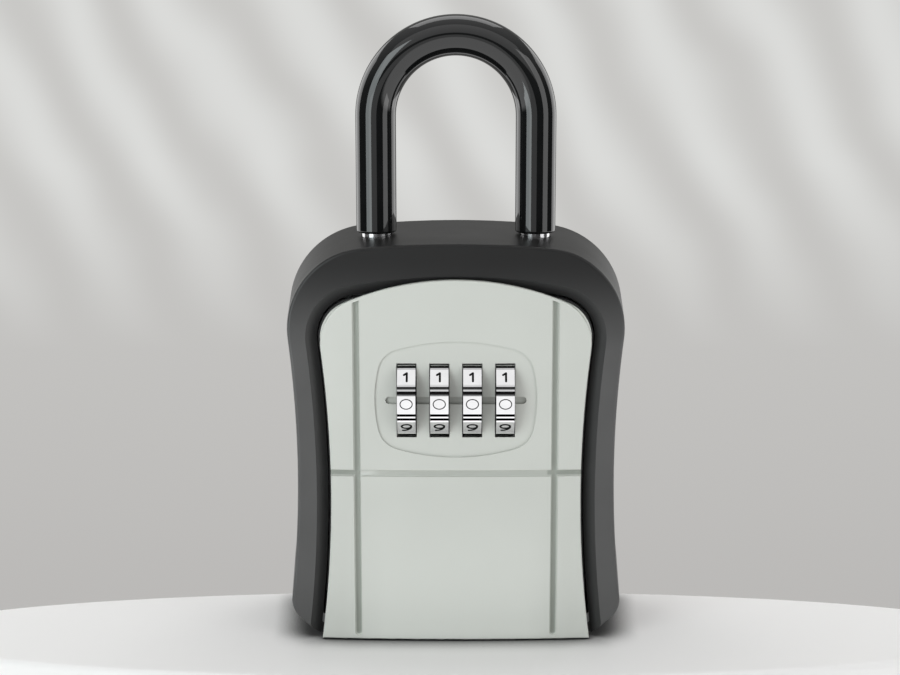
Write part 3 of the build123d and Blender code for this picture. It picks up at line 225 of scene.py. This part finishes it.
join(
    tree,
    (place.outputs["Object"], split.inputs["Vector"]),
    (place.outputs["Object"], slant.inputs["Vector"]),
    (slant.outputs["Vector"], bands.inputs["Vector"]),
    (split.outputs["Z"], painted_height_fade.inputs["Value"]),
    (split.outputs["Z"], high.inputs["Value"]),
    (bands.outputs["Fac"], both.inputs[0]),
    (high.outputs["Result"], both.inputs[1]),
    (painted_height_fade.outputs["Result"], shade.inputs["Factor"]),
    (both.outputs["Value"], painted_light_bands.inputs["Factor"]),
    (shade.outputs["Result"], painted_light_bands.inputs["A"]),
    (painted_light_bands.outputs["Result"], glow.inputs["Color"]),
    (seen.outputs["Is Camera Ray"], strength.inputs["Value"]),
    (strength.outputs["Result"], glow.inputs["Strength"]),
    (glow.outputs["Emission"], out.inputs["Surface"]),
)
wall.data.materials.append(pale)


# Studio light: soft boxes left and right and a low card draw the stripes on the sleeve, a
# raised card lights the face, a box overhead throws the shadow forward and two behind
# light the shoulders. The room is dim round the horizon and its floor is bright.

MIDDLE = (0, 0, 0.12)
SIDE_DISTANCE, SIDE_Z = 0.62, 0.26
LEFT_TURN, RIGHT_TURN = -41, 56
LEFT_TINT = (0.92, 1.0, 1.01)
CARD_PLACE = (0, -1.07, 0.98)
LOW_CARD_TURN, LOW_CARD_DISTANCE, LOW_CARD_Z = -17, 0.78, 0.10
TOP_PLACE = (0, 0.50, 1.20)
BACK_TURN, BACK_DISTANCE, BACK_Z = 125, 1.0, 0.25

# Brightness of the room by the height of a direction: 0 is straight down, 1 straight up.
ROOM_LEVELS = ((0.385, 1.15), (0.425, 0.04), (0.62, 0.09), (0.84, 0.33), (1.0, 0.60))
ROOM_SEEN = (0.56, 0.555, 0.55, 1)


def soft_box(name, place, aim, size, radiance, tint=(1, 1, 1)):
    """A rectangular lamp of even brightness, turned to face a point."""
    lamp = bpy.data.lights.new(name, "AREA")
    lamp.shape = "RECTANGLE"
    lamp.size, lamp.size_y = size
    lamp.energy = radiance * math.pi * size[0] * size[1]
    lamp.color = tint
    thing = bpy.data.objects.new(name, lamp)
    thing.location = place
    thing.rotation_euler = (Vector(aim) - Vector(place)).to_track_quat("-Z", "Y").to_euler()
    thing.visible_camera = False
    bpy.context.scene.collection.objects.link(thing)


def around(turn, distance, height):
    """A place round the safe: turn is in degrees, to the right of the camera."""
    a = math.radians(turn)
    return (math.sin(a) * distance, -math.cos(a) * distance, height)


soft_box(
    "box_left",
    around(LEFT_TURN, SIDE_DISTANCE, SIDE_Z),
    aim=(0, 0, SIDE_Z),
    size=(0.34, 0.64),
    radiance=2.6,
    tint=LEFT_TINT,
)
soft_box(
    "box_right",
    around(RIGHT_TURN, SIDE_DISTANCE, SIDE_Z),
    aim=(0, 0, SIDE_Z),
    size=(0.32, 0.64),
    radiance=1.4,
)
soft_box("card_front", CARD_PLACE, MIDDLE, size=(2.4, 1.18), radiance=0.50)
soft_box(
    "card_low",
    around(LOW_CARD_TURN, LOW_CARD_DISTANCE, LOW_CARD_Z),
    aim=(0, 0, LOW_CARD_Z),
    size=(0.62, 0.22),
    radiance=0.5,
)
soft_box("box_top", TOP_PLACE, MIDDLE, size=(1.1, 0.70), radiance=1.6)
for side, turn in (("left", -BACK_TURN), ("right", BACK_TURN)):
    behind = around(turn, BACK_DISTANCE, BACK_Z)
    soft_box("box_back_" + side, behind, MIDDLE, size=(0.8, 1.0), radiance=1.65)

world = bpy.data.worlds.new("studio")
bpy.context.scene.world = world
world.use_nodes = True
tree = world.node_tree
tree.nodes.clear()
place = node(tree, "ShaderNodeTexCoord")
split = node(tree, "ShaderNodeSeparateXYZ")
level = node(tree, "ShaderNodeMapRange", From_Min=-1.0)
room = node(tree, "ShaderNodeValToRGB")
stops = room.color_ramp.elements
for stop, (height, bright) in zip(stops, (ROOM_LEVELS[0], ROOM_LEVELS[-1])):
    stop.position = height
    stop.color = (bright, bright, bright, 1)
for height, bright in ROOM_LEVELS[1:-1]:
    stops.new(height).color = (bright, bright, bright, 1)
seen = node(tree, "ShaderNodeLightPath")
pick = tone_mix(tree, B=ROOM_SEEN)
back = node(tree, "ShaderNodeBackground")
out = node(tree, "ShaderNodeOutputWorld")
join(
    tree,
    (place.outputs["Generated"], split.inputs["Vector"]),
    (split.outputs["Z"], level.inputs["Value"]),
    (level.outputs["Result"], room.inputs["Fac"]),
    (room.outputs["Color"], pick.inputs["A"]),
    (seen.outputs["Is Camera Ray"], pick.inputs["Factor"]),
    (pick.outputs["Result"], back.inputs["Color"]),
    (back.outputs["Background"], out.inputs["Surface"]),
)


# Outer jacket: the dark grey cover of the case, moulded in plastic with a fine satin grain
# and drawn over the casting, with a bevel round the door opening. Painted shade makes it
# a little darker to the top and on the faces that look inward.

JACKET_DARK, JACKET_LIGHT = (0.076, 0.0755, 0.075), (0.089, 0.0885, 0.088)
JACKET_SHINE = 0.42
PAINTED_SHADE_FROM_Z, PAINTED_SHADE_TO_Z = 0.078, 0.106
PAINTED_TOP_SHADE = (0.0060, 0.0060, 0.0060, 1)
OPENING_MIDDLE = (0, -0.01615, 0.055)
INWARD_FULL, INWARD_NONE = -0.010, -0.003
PAINTED_BEVEL_SHADE = (0.036, 0.036, 0.036, 1)
NOISE_LOW, NOISE_HIGH = 0.3, 0.7
GRAIN_DETAIL, DRIFT_DETAIL = 3.0, 2.0


def surface_group():
    """A fine grain for Bump, with a slow drift for the tone and the roughness."""
    group = bpy.data.node_groups.new("surface", "ShaderNodeTree")
    face = group.interface
    for name in ("Grain Size", "Grain Stretch", "Drift Size", "Smooth", "Rough"):
        face.new_socket(name, in_out="INPUT", socket_type="NodeSocketFloat")
    for name in ("Height", "Roughness", "Tone"):
        face.new_socket(name, in_out="OUTPUT", socket_type="NodeSocketFloat")
    given = group.nodes.new("NodeGroupInput")
    made = group.nodes.new("NodeGroupOutput")
    where = node(group, "ShaderNodeTexCoord")
    pull = node(group, "ShaderNodeCombineXYZ", Y=1.0, Z=1.0)
    drawn = node(group, "ShaderNodeVectorMath", "MULTIPLY")
    fine = node(group, "ShaderNodeTexNoise", Detail=GRAIN_DETAIL)
    slow = node(group, "ShaderNodeTexNoise", Detail=DRIFT_DETAIL)
    tone = node(group, "ShaderNodeMapRange", From_Min=NOISE_LOW, From_Max=NOISE_HIGH)
    rough = node(group, "ShaderNodeMapRange", From_Min=NOISE_LOW, From_Max=NOISE_HIGH)
    join(
        group,
        (where.outputs["Object"], drawn.inputs[0]),
        (given.outputs["Grain Stretch"], pull.inputs["X"]),
        (pull.outputs["Vector"], drawn.inputs[1]),
        (drawn.outputs["Vector"], fine.inputs["Vector"]),
        (where.outputs["Object"], slow.inputs["Vector"]),
        (given.outputs["Grain Size"], fine.inputs["Scale"]),
        (given.outputs["Drift Size"], slow.inputs["Scale"]),
        (slow.outputs["Fac"], tone.inputs["Value"]),
        (slow.outputs["Fac"], rough.inputs["Value"]),
        (given.outputs["Smooth"], rough.inputs["To Min"]),
        (given.outputs["Rough"], rough.inputs["To Max"]),
        (fine.outputs["Fac"], made.inputs["Height"]),
        (rough.outputs["Result"], made.inputs["Roughness"]),
        (tone.outputs["Result"], made.inputs["Tone"]),
    )
    return group


surface = surface_group()


def finish(name, dark, light, rough, grain, depth, metal=0.0, drift=60.0, stretch=1.0):
    """A surface between two tones and two roughnesses, with a grain of one size and depth.

    A stretch under one draws the grain out along X, as grinding or rolling does."""
    material = bpy.data.materials.new(name)
    material.use_nodes = True
    tree = material.node_tree
    body = tree.nodes["Principled BSDF"]
    body.inputs["Metallic"].default_value = metal
    detail = tree.nodes.new("ShaderNodeGroup")
    detail.node_tree = surface
    detail.inputs["Grain Size"].default_value = grain
    detail.inputs["Grain Stretch"].default_value = stretch
    detail.inputs["Drift Size"].default_value = drift
    detail.inputs["Smooth"].default_value, detail.inputs["Rough"].default_value = rough
    tones = tone_mix(tree, A=(*dark, 1), B=(*light, 1))
    bump = node(tree, "ShaderNodeBump", Distance=depth)
    join(
        tree,
        (detail.outputs["Tone"], tones.inputs["Factor"]),
        (tones.outputs["Result"], body.inputs["Base Color"]),
        (detail.outputs["Height"], bump.inputs["Height"]),
        (bump.outputs["Normal"], body.inputs["Normal"]),
        (detail.outputs["Roughness"], body.inputs["Roughness"]),
    )
    return material


def dress(material, *names):
    """Give CAD nodes a finish."""
    for name in names:
        slots = nodes[name].material_slots
        for slot in slots:
            slot.material = material
        if not slots:
            nodes[name].data.materials.append(material)


def numbered(name):
    """The names of the four like nodes, one at each dial."""
    return [f"{name}_{i}" for i in range(1, 5)]


def set_shine(material, level):
    """Set how strongly a finish mirrors under its colour."""
    body = material.node_tree.nodes["Principled BSDF"]
    body.inputs["Specular IOR Level"].default_value = level


jacket = finish(
    "jacket_satin", JACKET_DARK, JACKET_LIGHT, rough=(0.34, 0.38), grain=5200, depth=0.000012
)
set_shine(jacket, JACKET_SHINE)
tree = jacket.node_tree
body = tree.nodes["Principled BSDF"]
plain = body.inputs["Base Color"].links[0].from_socket
# Painted shade: darker toward the top, and darker on the faces that look in toward the door opening.
where = node(tree, "ShaderNodeTexCoord")
split = node(tree, "ShaderNodeSeparateXYZ")
painted_height_fade = node(tree, "ShaderNodeMapRange", From_Min=PAINTED_SHADE_FROM_Z, From_Max=PAINTED_SHADE_TO_Z)
painted_height_fade.interpolation_type = "SMOOTHSTEP"
painted_shade = tone_mix(tree, B=PAINTED_TOP_SHADE)
middle = node(tree, "ShaderNodeVectorMath", "SUBTRACT")
middle.inputs[1].default_value = OPENING_MIDDLE
inward = node(tree, "ShaderNodeVectorMath", "DOT_PRODUCT")
inward_shade_share = node(tree, "ShaderNodeMapRange", From_Min=INWARD_FULL, From_Max=INWARD_NONE)
inward_shade_mix = tone_mix(tree, A=PAINTED_BEVEL_SHADE)
join(
    tree,
    (where.outputs["Object"], split.inputs["Vector"]),
    (split.outputs["Z"], painted_height_fade.inputs["Value"]),
    (painted_height_fade.outputs["Result"], painted_shade.inputs["Factor"]),
    (plain, painted_shade.inputs["A"]),
    (where.outputs["Object"], middle.inputs[0]),
    (middle.outputs["Vector"], inward.inputs[0]),
    (where.outputs["Normal"], inward.inputs[1]),
    (inward.outputs["Value"], inward_shade_share.inputs["Value"]),
    (inward_shade_share.outputs["Result"], inward_shade_mix.inputs["Factor"]),
    (painted_shade.outputs["Result"], inward_shade_mix.inputs["B"]),
    (inward_shade_mix.outputs["Result"], body.inputs["Base Color"]),
)
dress(jacket, "outer_jacket")


# Inner case: a zinc die casting, bead blasted to an even light grey. The lock housing,
# screwed up under its roof, and the carrier of the dial lock are cast the same way.

CAST_DARK, CAST_LIGHT = (0.355, 0.36, 0.365), (0.395, 0.40, 0.405)
cast = finish(
    "cast_zinc",
    CAST_DARK,
    CAST_LIGHT,
    rough=(0.46, 0.52),
    grain=2600,
    depth=0.00006,
    metal=0.85,
    drift=35,
)
dress(cast, "case_shell", "lock_housing", "dial_chassis")


# Ground steel: the hinge pins, the spindle, the latch comb and the shackle lock plate.
# They are ground lengthwise, and slide or turn in the castings.

STEEL_DARK, STEEL_LIGHT = (0.54, 0.54, 0.55), (0.60, 0.60, 0.61)
steel = finish(
    "ground_steel",
    STEEL_DARK,
    STEEL_LIGHT,
    rough=(0.22, 0.28),
    grain=4200,
    depth=0.000010,
    metal=1.0,
    stretch=0.06,
)
dress(steel, "hinge_pins", "dial_spindle", "latch_comb", "shackle_lock_plate")


# Pressed plates: the cover of the dial lock, the cover of the shackle lock, the strike and
# the reset slide, pressed from zinc-plated steel sheet. The covers and the strike are
# screwed on. The plating has a faint cloudy tone.

PLATE_DARK, PLATE_LIGHT = (0.58, 0.59, 0.61), (0.64, 0.65, 0.66)
plate = finish(
    "zinc_plate",
    PLATE_DARK,
    PLATE_LIGHT,
    rough=(0.28, 0.33),
    grain=2200,
    depth=0.000008,
    metal=1.0,
    drift=120,
    stretch=0.08,
)
dress(plate, "mechanism_cover", "lock_cover", "door_strike", "reset_slide")


# Springs and clip: coils of drawn spring wire that push the latch and the lock plate, the
# spring strip with a finger at each dial and the clip on the spindle. All are a little
# darker than the plates.

WIRE_DARK, WIRE_LIGHT = (0.34, 0.34, 0.36), (0.48, 0.48, 0.49)
wire = finish(
    "spring_wire",
    WIRE_DARK,
    WIRE_LIGHT,
    rough=(0.22, 0.34),
    grain=3600,
    depth=0.00001,
    metal=1.0,
    drift=400,
)
dress(wire, "lock_plate_spring", "latch_springs", "detent_spring", "spindle_clip")


# Rivets: two turned brass rivets that hold the detent spring to the carrier of the dial
# lock.

BRASS_DARK, BRASS_LIGHT = (0.60, 0.41, 0.17), (0.74, 0.54, 0.25)
brass = finish(
    "turned_brass",
    BRASS_DARK,
    BRASS_LIGHT,
    rough=(0.20, 0.32),
    grain=3200,
    depth=0.00001,
    metal=1.0,
    drift=500,
)
dress(brass, "detent_rivets")


# Black moulded pieces: the code rings inside the dials and the bushes round the shackle's
# legs, in black acetal, and the rubber seal pushed round the door's rib, which is duller
# and rougher.

MOULD_DARK, MOULD_LIGHT = (0.016, 0.016, 0.017), (0.026, 0.026, 0.027)
moulded = finish(
    "moulded_black", MOULD_DARK, MOULD_LIGHT, rough=(0.42, 0.54), grain=3000, depth=0.00002, drift=300
)
dress(moulded, "leg_bushes", *numbered("code_ring"))

RUBBER_DARK, RUBBER_LIGHT = (0.010, 0.010, 0.010), (0.018, 0.018, 0.018)
rubber = finish(
    "seal_rubber", RUBBER_DARK, RUBBER_LIGHT, rough=(0.62, 0.78), grain=1700, depth=0.00004, drift=220
)
dress(rubber, "door_seal")


# Door: a die-cast panel on two pins at its foot, in light grey-green satin paint with a
# little orange peel. Painted shade darkens it in the grooves, most in the upright ones, and
# painted light makes it a shade lighter at the foot.

CROWN_R = 0.525
FACE_Y = min(v.co.y for v in nodes["door_panel"].data.vertices)
GROOVE_FROM, GROOVE_TO = 0.00056, 0.00085
PAINTED_GROOVE_SHADE = (0.31, 0.33, 0.295, 1)
UPRIGHT_FROM = 0.0245
UPRIGHT_FADE = 0.0005
CROSS_SHARE = 0.3
FOOT_Z, FADE_Z = 0.003, 0.042
FOOT_HALF_W, FADE_HALF_W = 0.019, 0.031
EDGE_SHARE = 0.25
PAINTED_FOOT_LIGHT_TONE = (0.700, 0.717, 0.672, 1)
PAINT_DARK, PAINT_LIGHT = (0.562, 0.577, 0.538), (0.588, 0.603, 0.563)

paint = finish(
    "door_paint", PAINT_DARK, PAINT_LIGHT, rough=(0.34, 0.41), grain=900, depth=0.000014, drift=40
)
tree = paint.node_tree
body = tree.nodes["Principled BSDF"]
plain = body.inputs["Base Color"].links[0].from_socket
# Painted shade in the grooves, found by the depth behind the crowned face.
where = node(tree, "ShaderNodeTexCoord")
split = node(tree, "ShaderNodeSeparateXYZ")
square = node(tree, "ShaderNodeMath", "MULTIPLY")
crown = node(tree, "ShaderNodeMath", "MULTIPLY_ADD")
crown.inputs[1].default_value = -0.5 / CROWN_R
behind = node(
    tree, "ShaderNodeMapRange", From_Min=FACE_Y + GROOVE_FROM, From_Max=FACE_Y + GROOVE_TO
)
aside = node(tree, "ShaderNodeMath", "ABSOLUTE")
upright = node(
    tree,
    "ShaderNodeMapRange",
    From_Min=UPRIGHT_FROM,
    From_Max=UPRIGHT_FROM + UPRIGHT_FADE,
    To_Min=CROSS_SHARE,
)
groove_shade_share = node(tree, "ShaderNodeMath", "MULTIPLY")
# Painted light: lighter toward the foot, most between the upright grooves.
low = node(tree, "ShaderNodeMapRange", From_Min=FADE_Z, From_Max=FOOT_Z)
inner = node(
    tree, "ShaderNodeMapRange", From_Min=FADE_HALF_W, From_Max=FOOT_HALF_W, To_Min=EDGE_SHARE
)
foot_light_share = node(tree, "ShaderNodeMath", "MULTIPLY")
painted_foot_light = tone_mix(tree, B=PAINTED_FOOT_LIGHT_TONE)
painted_groove_shade_mix = tone_mix(tree, B=PAINTED_GROOVE_SHADE)
join(
    tree,
    (where.outputs["Object"], split.inputs["Vector"]),
    (split.outputs["X"], square.inputs[0]),
    (split.outputs["X"], square.inputs[1]),
    (square.outputs["Value"], crown.inputs[0]),
    (split.outputs["Y"], crown.inputs[2]),
    (crown.outputs["Value"], behind.inputs["Value"]),
    (split.outputs["X"], aside.inputs[0]),
    (aside.outputs["Value"], upright.inputs["Value"]),
    (behind.outputs["Result"], groove_shade_share.inputs[0]),
    (upright.outputs["Result"], groove_shade_share.inputs[1]),
    (groove_shade_share.outputs["Value"], painted_groove_shade_mix.inputs["Factor"]),
    (split.outputs["Z"], low.inputs["Value"]),
    (aside.outputs["Value"], inner.inputs["Value"]),
    (low.outputs["Result"], foot_light_share.inputs[0]),
    (inner.outputs["Result"], foot_light_share.inputs[1]),
    (foot_light_share.outputs["Value"], painted_foot_light.inputs["Factor"]),
    (plain, painted_foot_light.inputs["A"]),
    (painted_foot_light.outputs["Result"], painted_groove_shade_mix.inputs["A"]),
    (painted_groove_shade_mix.outputs["Result"], body.inputs["Base Color"]),
)
dress(paint, "door_panel")


# Dials: four wheels with ten flats on one spindle, plated in bright chrome, with digits
# filled with black enamel. Painted shade darkens the chrome in the grip grooves and on the
# ends of the wheels.

DIAL_AXIS = (0, -0.01015, 0.0677)
ACROSS_AXIS = (0, 1, 1)
GRIP_SHADE_R, CHROME_R = 0.01154, 0.01164
PAINTED_GRIP_SHADE_TONE = (0.055, 0.055, 0.056, 1)
CHROME_DARK, CHROME_LIGHT = (0.80, 0.80, 0.81), (0.88, 0.88, 0.885)

chrome = finish(
    "dial_chrome",
    CHROME_DARK,
    CHROME_LIGHT,
    rough=(0.035, 0.06),
    grain=4200,
    depth=0.000001,
    metal=1.0,
    drift=260,
    stretch=0.05,
)
tree = chrome.node_tree
body = tree.nodes["Principled BSDF"]
plain = body.inputs["Base Color"].links[0].from_socket
# Painted shade: the chrome turns near black inside the radius of the grip grooves.
where = node(tree, "ShaderNodeTexCoord")
offset = node(tree, "ShaderNodeVectorMath", "SUBTRACT")
offset.inputs[1].default_value = DIAL_AXIS
across = node(tree, "ShaderNodeVectorMath", "MULTIPLY")
across.inputs[1].default_value = ACROSS_AXIS
radius = node(tree, "ShaderNodeVectorMath", "LENGTH")
outer = node(tree, "ShaderNodeMapRange", From_Min=GRIP_SHADE_R, From_Max=CHROME_R)
painted_grip_shade = tone_mix(tree, A=PAINTED_GRIP_SHADE_TONE)
join(
    tree,
    (where.outputs["Object"], offset.inputs[0]),
    (offset.outputs["Vector"], across.inputs[0]),
    (across.outputs["Vector"], radius.inputs[0]),
    (radius.outputs["Value"], outer.inputs["Value"]),
    (outer.outputs["Result"], painted_grip_shade.inputs["Factor"]),
    (plain, painted_grip_shade.inputs["B"]),
    (painted_grip_shade.outputs["Result"], body.inputs["Base Color"]),
)
dress(chrome, *numbered("dial_wheel"))

ENAMEL_DARK, ENAMEL_LIGHT = (0.002, 0.002, 0.002), (0.004, 0.004, 0.004)
ENAMEL_SHINE = 0.12
enamel = finish(
    "digit_enamel", ENAMEL_DARK, ENAMEL_LIGHT, rough=(0.30, 0.40), grain=2600, depth=0.00001, drift=500
)
set_shine(enamel, ENAMEL_SHINE)
dress(enamel, *numbered("dial_digits"))


# Shackle: a bent bar of polished steel in a sleeve of glossy black vinyl, which is pushed
# over it and stops just over the roof. The sleeve has a barely wavy skin.

BAR_DARK, BAR_LIGHT = (0.55, 0.55, 0.56), (0.61, 0.61, 0.62)
polished = finish(
    "polished_steel",
    BAR_DARK,
    BAR_LIGHT,
    rough=(0.12, 0.17),
    grain=2600,
    depth=0.000005,
    metal=1.0,
    drift=200,
)
dress(polished, "shackle_bar")

SLEEVE_DARK, SLEEVE_LIGHT = (0.0035, 0.0038, 0.0040), (0.0048, 0.0052, 0.0054)
SLEEVE_SHINE = 0.75
gloss = finish(
    "sleeve_gloss", SLEEVE_DARK, SLEEVE_LIGHT, rough=(0.035, 0.06), grain=420, depth=0.000003, drift=120
)
set_shine(gloss, SLEEVE_SHINE)
dress(gloss, "shackle_sleeve")


# Screws: plated pan-head machine screws with a cross recess, turned in to different angles.
# One Geometry Nodes tree sets a screw on each spot of a set, and the sets of one body
# replace their CAD nodes.

HEAD_CLEAR = 0.97
RECESS_SHARE = 0.58
RECESS_W_SHARE = 0.17
RECESS_D_SHARE = 0.62
CROWN_SHARE = 0.28
HEAD_SIDES, HEAD_RINGS = 48, 6
SHANK_SIDES = 32
SHARP_ANGLE = 30
SPIN_SEED = 7
SCREW_DARK, SCREW_LIGHT = (0.40, 0.40, 0.41), (0.56, 0.56, 0.57)

# For each CAD node: its body, the way its heads face, the spots in the plane across that
# way, the radius and height of the head, and the radius of the shank.
SCREW_SETS = {
    "mechanism_screws": (
        "door",
        (0, 1, 0),
        ((-0.0278, 0.0575), (0.0278, 0.0575), (-0.017, 0.0893), (0.017, 0.0893)),
        (0.0021, 0.0008, 0.0012),
    ),
    "lock_cover_screws": (
        "case",
        (0, -1, 0),
        ((-0.013, 0.0894), (0.013, 0.0894), (-0.013, 0.0988), (0.013, 0.0988)),
        (0.0020, 0.0007, 0.0010),
    ),
    "lock_housing_screws": (
        "case",
        (0, 0, -1),
        ((-0.0246, 0.01485), (0.0246, 0.01485)),
        (0.0028, 0.0020, 0.0015),
    ),
    "strike_screws": (
        "case",
        (0, 0, -1),
        ((-0.008, -0.00795), (0.008, -0.00795)),
        (0.0024, 0.0015, 0.0012),
    ),
}

screw_plate = finish(
    "screw_plate",
    SCREW_DARK,
    SCREW_LIGHT,
    rough=(0.22, 0.36),
    grain=3200,
    depth=0.000008,
    metal=1.0,
    drift=600,
)


def screw_tree():
    """A screw along Z, its head's top at the point, set on each vertex of a mesh."""
    tree = bpy.data.node_groups.new("screw_set", "GeometryNodeTree")
    face = tree.interface
    face.new_socket("Geometry", in_out="INPUT", socket_type="NodeSocketGeometry")
    for name in ("Head Radius", "Head Height", "Shank Radius", "Length"):
        face.new_socket(name, in_out="INPUT", socket_type="NodeSocketFloat")
    face.new_socket("Facing", in_out="INPUT", socket_type="NodeSocketVector")
    face.new_socket("Geometry", in_out="OUTPUT", socket_type="NodeSocketGeometry")
    given = tree.nodes.new("NodeGroupInput").outputs
    made = tree.nodes.new("NodeGroupOutput")

    def add(kind, sources=(), mode=None, **settings):
        new = node(tree, kind, mode, **settings)
        for socket, source in dict(sources).items():
            tree.links.new(source, new.inputs[socket])
        return new

    def maths(mode, first, second):
        new = node(tree, "ShaderNodeMath", mode)
        for socket, value in zip(new.inputs, (first, second)):
            if isinstance(value, (int, float)):
                socket.default_value = value
            else:
                tree.links.new(value, socket)
        return new.outputs[0]

    def placed(mesh, height):
        spot = add("ShaderNodeCombineXYZ", {"Z": height}).outputs[0]
        return add("GeometryNodeTransform", {"Geometry": mesh, "Translation": spot}).outputs[0]

    radius, height = given["Head Radius"], given["Head Height"]
    disc = add(
        "GeometryNodeMeshCylinder",
        {"Radius": radius, "Depth": height},
        Vertices=HEAD_SIDES,
        Fill_Segments=HEAD_RINGS,
    )
    at = add("ShaderNodeSeparateXYZ", {"Vector": add("GeometryNodeInputPosition").outputs[0]})
    out = maths("ADD", maths("POWER", at.outputs["X"], 2), maths("POWER", at.outputs["Y"], 2))
    share = maths("DIVIDE", out, maths("POWER", radius, 2))
    drop = maths("MULTIPLY", maths("MULTIPLY", share, height), -CROWN_SHARE)
    move = add("ShaderNodeCombineXYZ", {"Z": drop})
    domed = add(
        "GeometryNodeSetPosition",
        {
            "Geometry": disc.outputs["Mesh"],
            "Selection": maths("GREATER_THAN", at.outputs["Z"], 0),
            "Offset": move.outputs[0],
        },
    )
    head = placed(domed.outputs[0], maths("MULTIPLY", height, -0.5))
    arm = maths("MULTIPLY", radius, 2 * RECESS_SHARE)
    width = maths("MULTIPLY", radius, 2 * RECESS_W_SHARE)
    depth = maths("MULTIPLY", height, 2 * RECESS_D_SHARE)
    cut = add("GeometryNodeMeshBoolean", {"Mesh 1": head}, "DIFFERENCE")
    for x, y in ((arm, width), (width, arm)):
        size = add("ShaderNodeCombineXYZ", {"X": x, "Y": y, "Z": depth})
        bar = add("GeometryNodeMeshCube", {"Size": size.outputs[0]})
        tree.links.new(bar.outputs["Mesh"], cut.inputs["Mesh 2"])
    rest = maths("SUBTRACT", given["Length"], height)
    shank = add(
        "GeometryNodeMeshCylinder",
        {"Radius": given["Shank Radius"], "Depth": rest},
        Vertices=SHANK_SIDES,
    )
    middle = maths("MULTIPLY", maths("ADD", given["Length"], height), -0.5)
    screw = add("GeometryNodeJoinGeometry", {"Geometry": cut.outputs["Mesh"]})
    tree.links.new(placed(shank.outputs["Mesh"], middle), screw.inputs["Geometry"])
    face_way = add("FunctionNodeAlignRotationToVector", {"Vector": given["Facing"]})
    face_way.axis = "Z"
    row = add(
        "GeometryNodeInstanceOnPoints",
        {
            "Points": given["Geometry"],
            "Instance": screw.outputs[0],
            "Rotation": face_way.outputs[0],
        },
    )
    spin = add("FunctionNodeRandomValue", Max=math.tau, Seed=SPIN_SEED)
    about = add("ShaderNodeCombineXYZ", {"Z": spin.outputs["Value"]})
    about = add("FunctionNodeEulerToRotation", {"Euler": about.outputs[0]})
    turned_in = add(
        "GeometryNodeRotateInstances", {"Instances": row.outputs[0], "Rotation": about.outputs[0]}
    )
    real = add("GeometryNodeRealizeInstances", {"Geometry": turned_in.outputs[0]})
    coated = add("GeometryNodeSetMaterial", {"Geometry": real.outputs[0]}, Material=screw_plate)
    tree.links.new(coated.outputs[0], made.inputs["Geometry"])
    return tree


def screw_mesh(tree, name):
    """The screws of one CAD node as a plain mesh."""
    facing, spots, (head_r, head_t, shank_r) = SCREW_SETS[name][1:]
    low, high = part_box(name)
    along = 1 if facing[1] else 2
    top = high[along] if sum(facing) > 0 else low[along]
    points = [(x, top, u) if along == 1 else (x, u, top) for x, u in spots]
    base = bpy.data.meshes.new(name + "_spots")
    base.from_pydata(points, [], [])
    holder = link(base, name + "_spots")
    modifier = holder.modifiers.new("screws", "NODES")
    modifier.node_group = tree
    values = {
        "Head Radius": head_r * HEAD_CLEAR,
        "Head Height": head_t,
        "Shank Radius": shank_r * HEAD_CLEAR,
        "Length": high[along] - low[along],
        "Facing": facing,
    }
    for item in tree.interface.items_tree:
        if item.in_out == "INPUT" and item.name in values:
            modifier[item.identifier] = values[item.name]
    bpy.context.view_layer.update()
    seen = holder.evaluated_get(bpy.context.evaluated_depsgraph_get())
    mesh = bpy.data.meshes.new_from_object(seen)
    holder.modifiers.remove(modifier)
    bpy.data.objects.remove(holder)
    return mesh


tree = screw_tree()
for owner in ("case", "door"):
    names = [name for name, row in SCREW_SETS.items() if row[0] == owner]
    whole = bmesh.new()
    for name in names:
        whole.from_mesh(screw_mesh(tree, name))
    mesh = bpy.data.meshes.new(owner + "_screws")
    whole.to_mesh(mesh)
    whole.free()
    mesh.materials.append(screw_plate)
    mesh.set_sharp_from_angle(angle=math.radians(SHARP_ANGLE))
    screws = link(mesh, owner + "_screws")
    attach(screws, owner)
    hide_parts(*names)
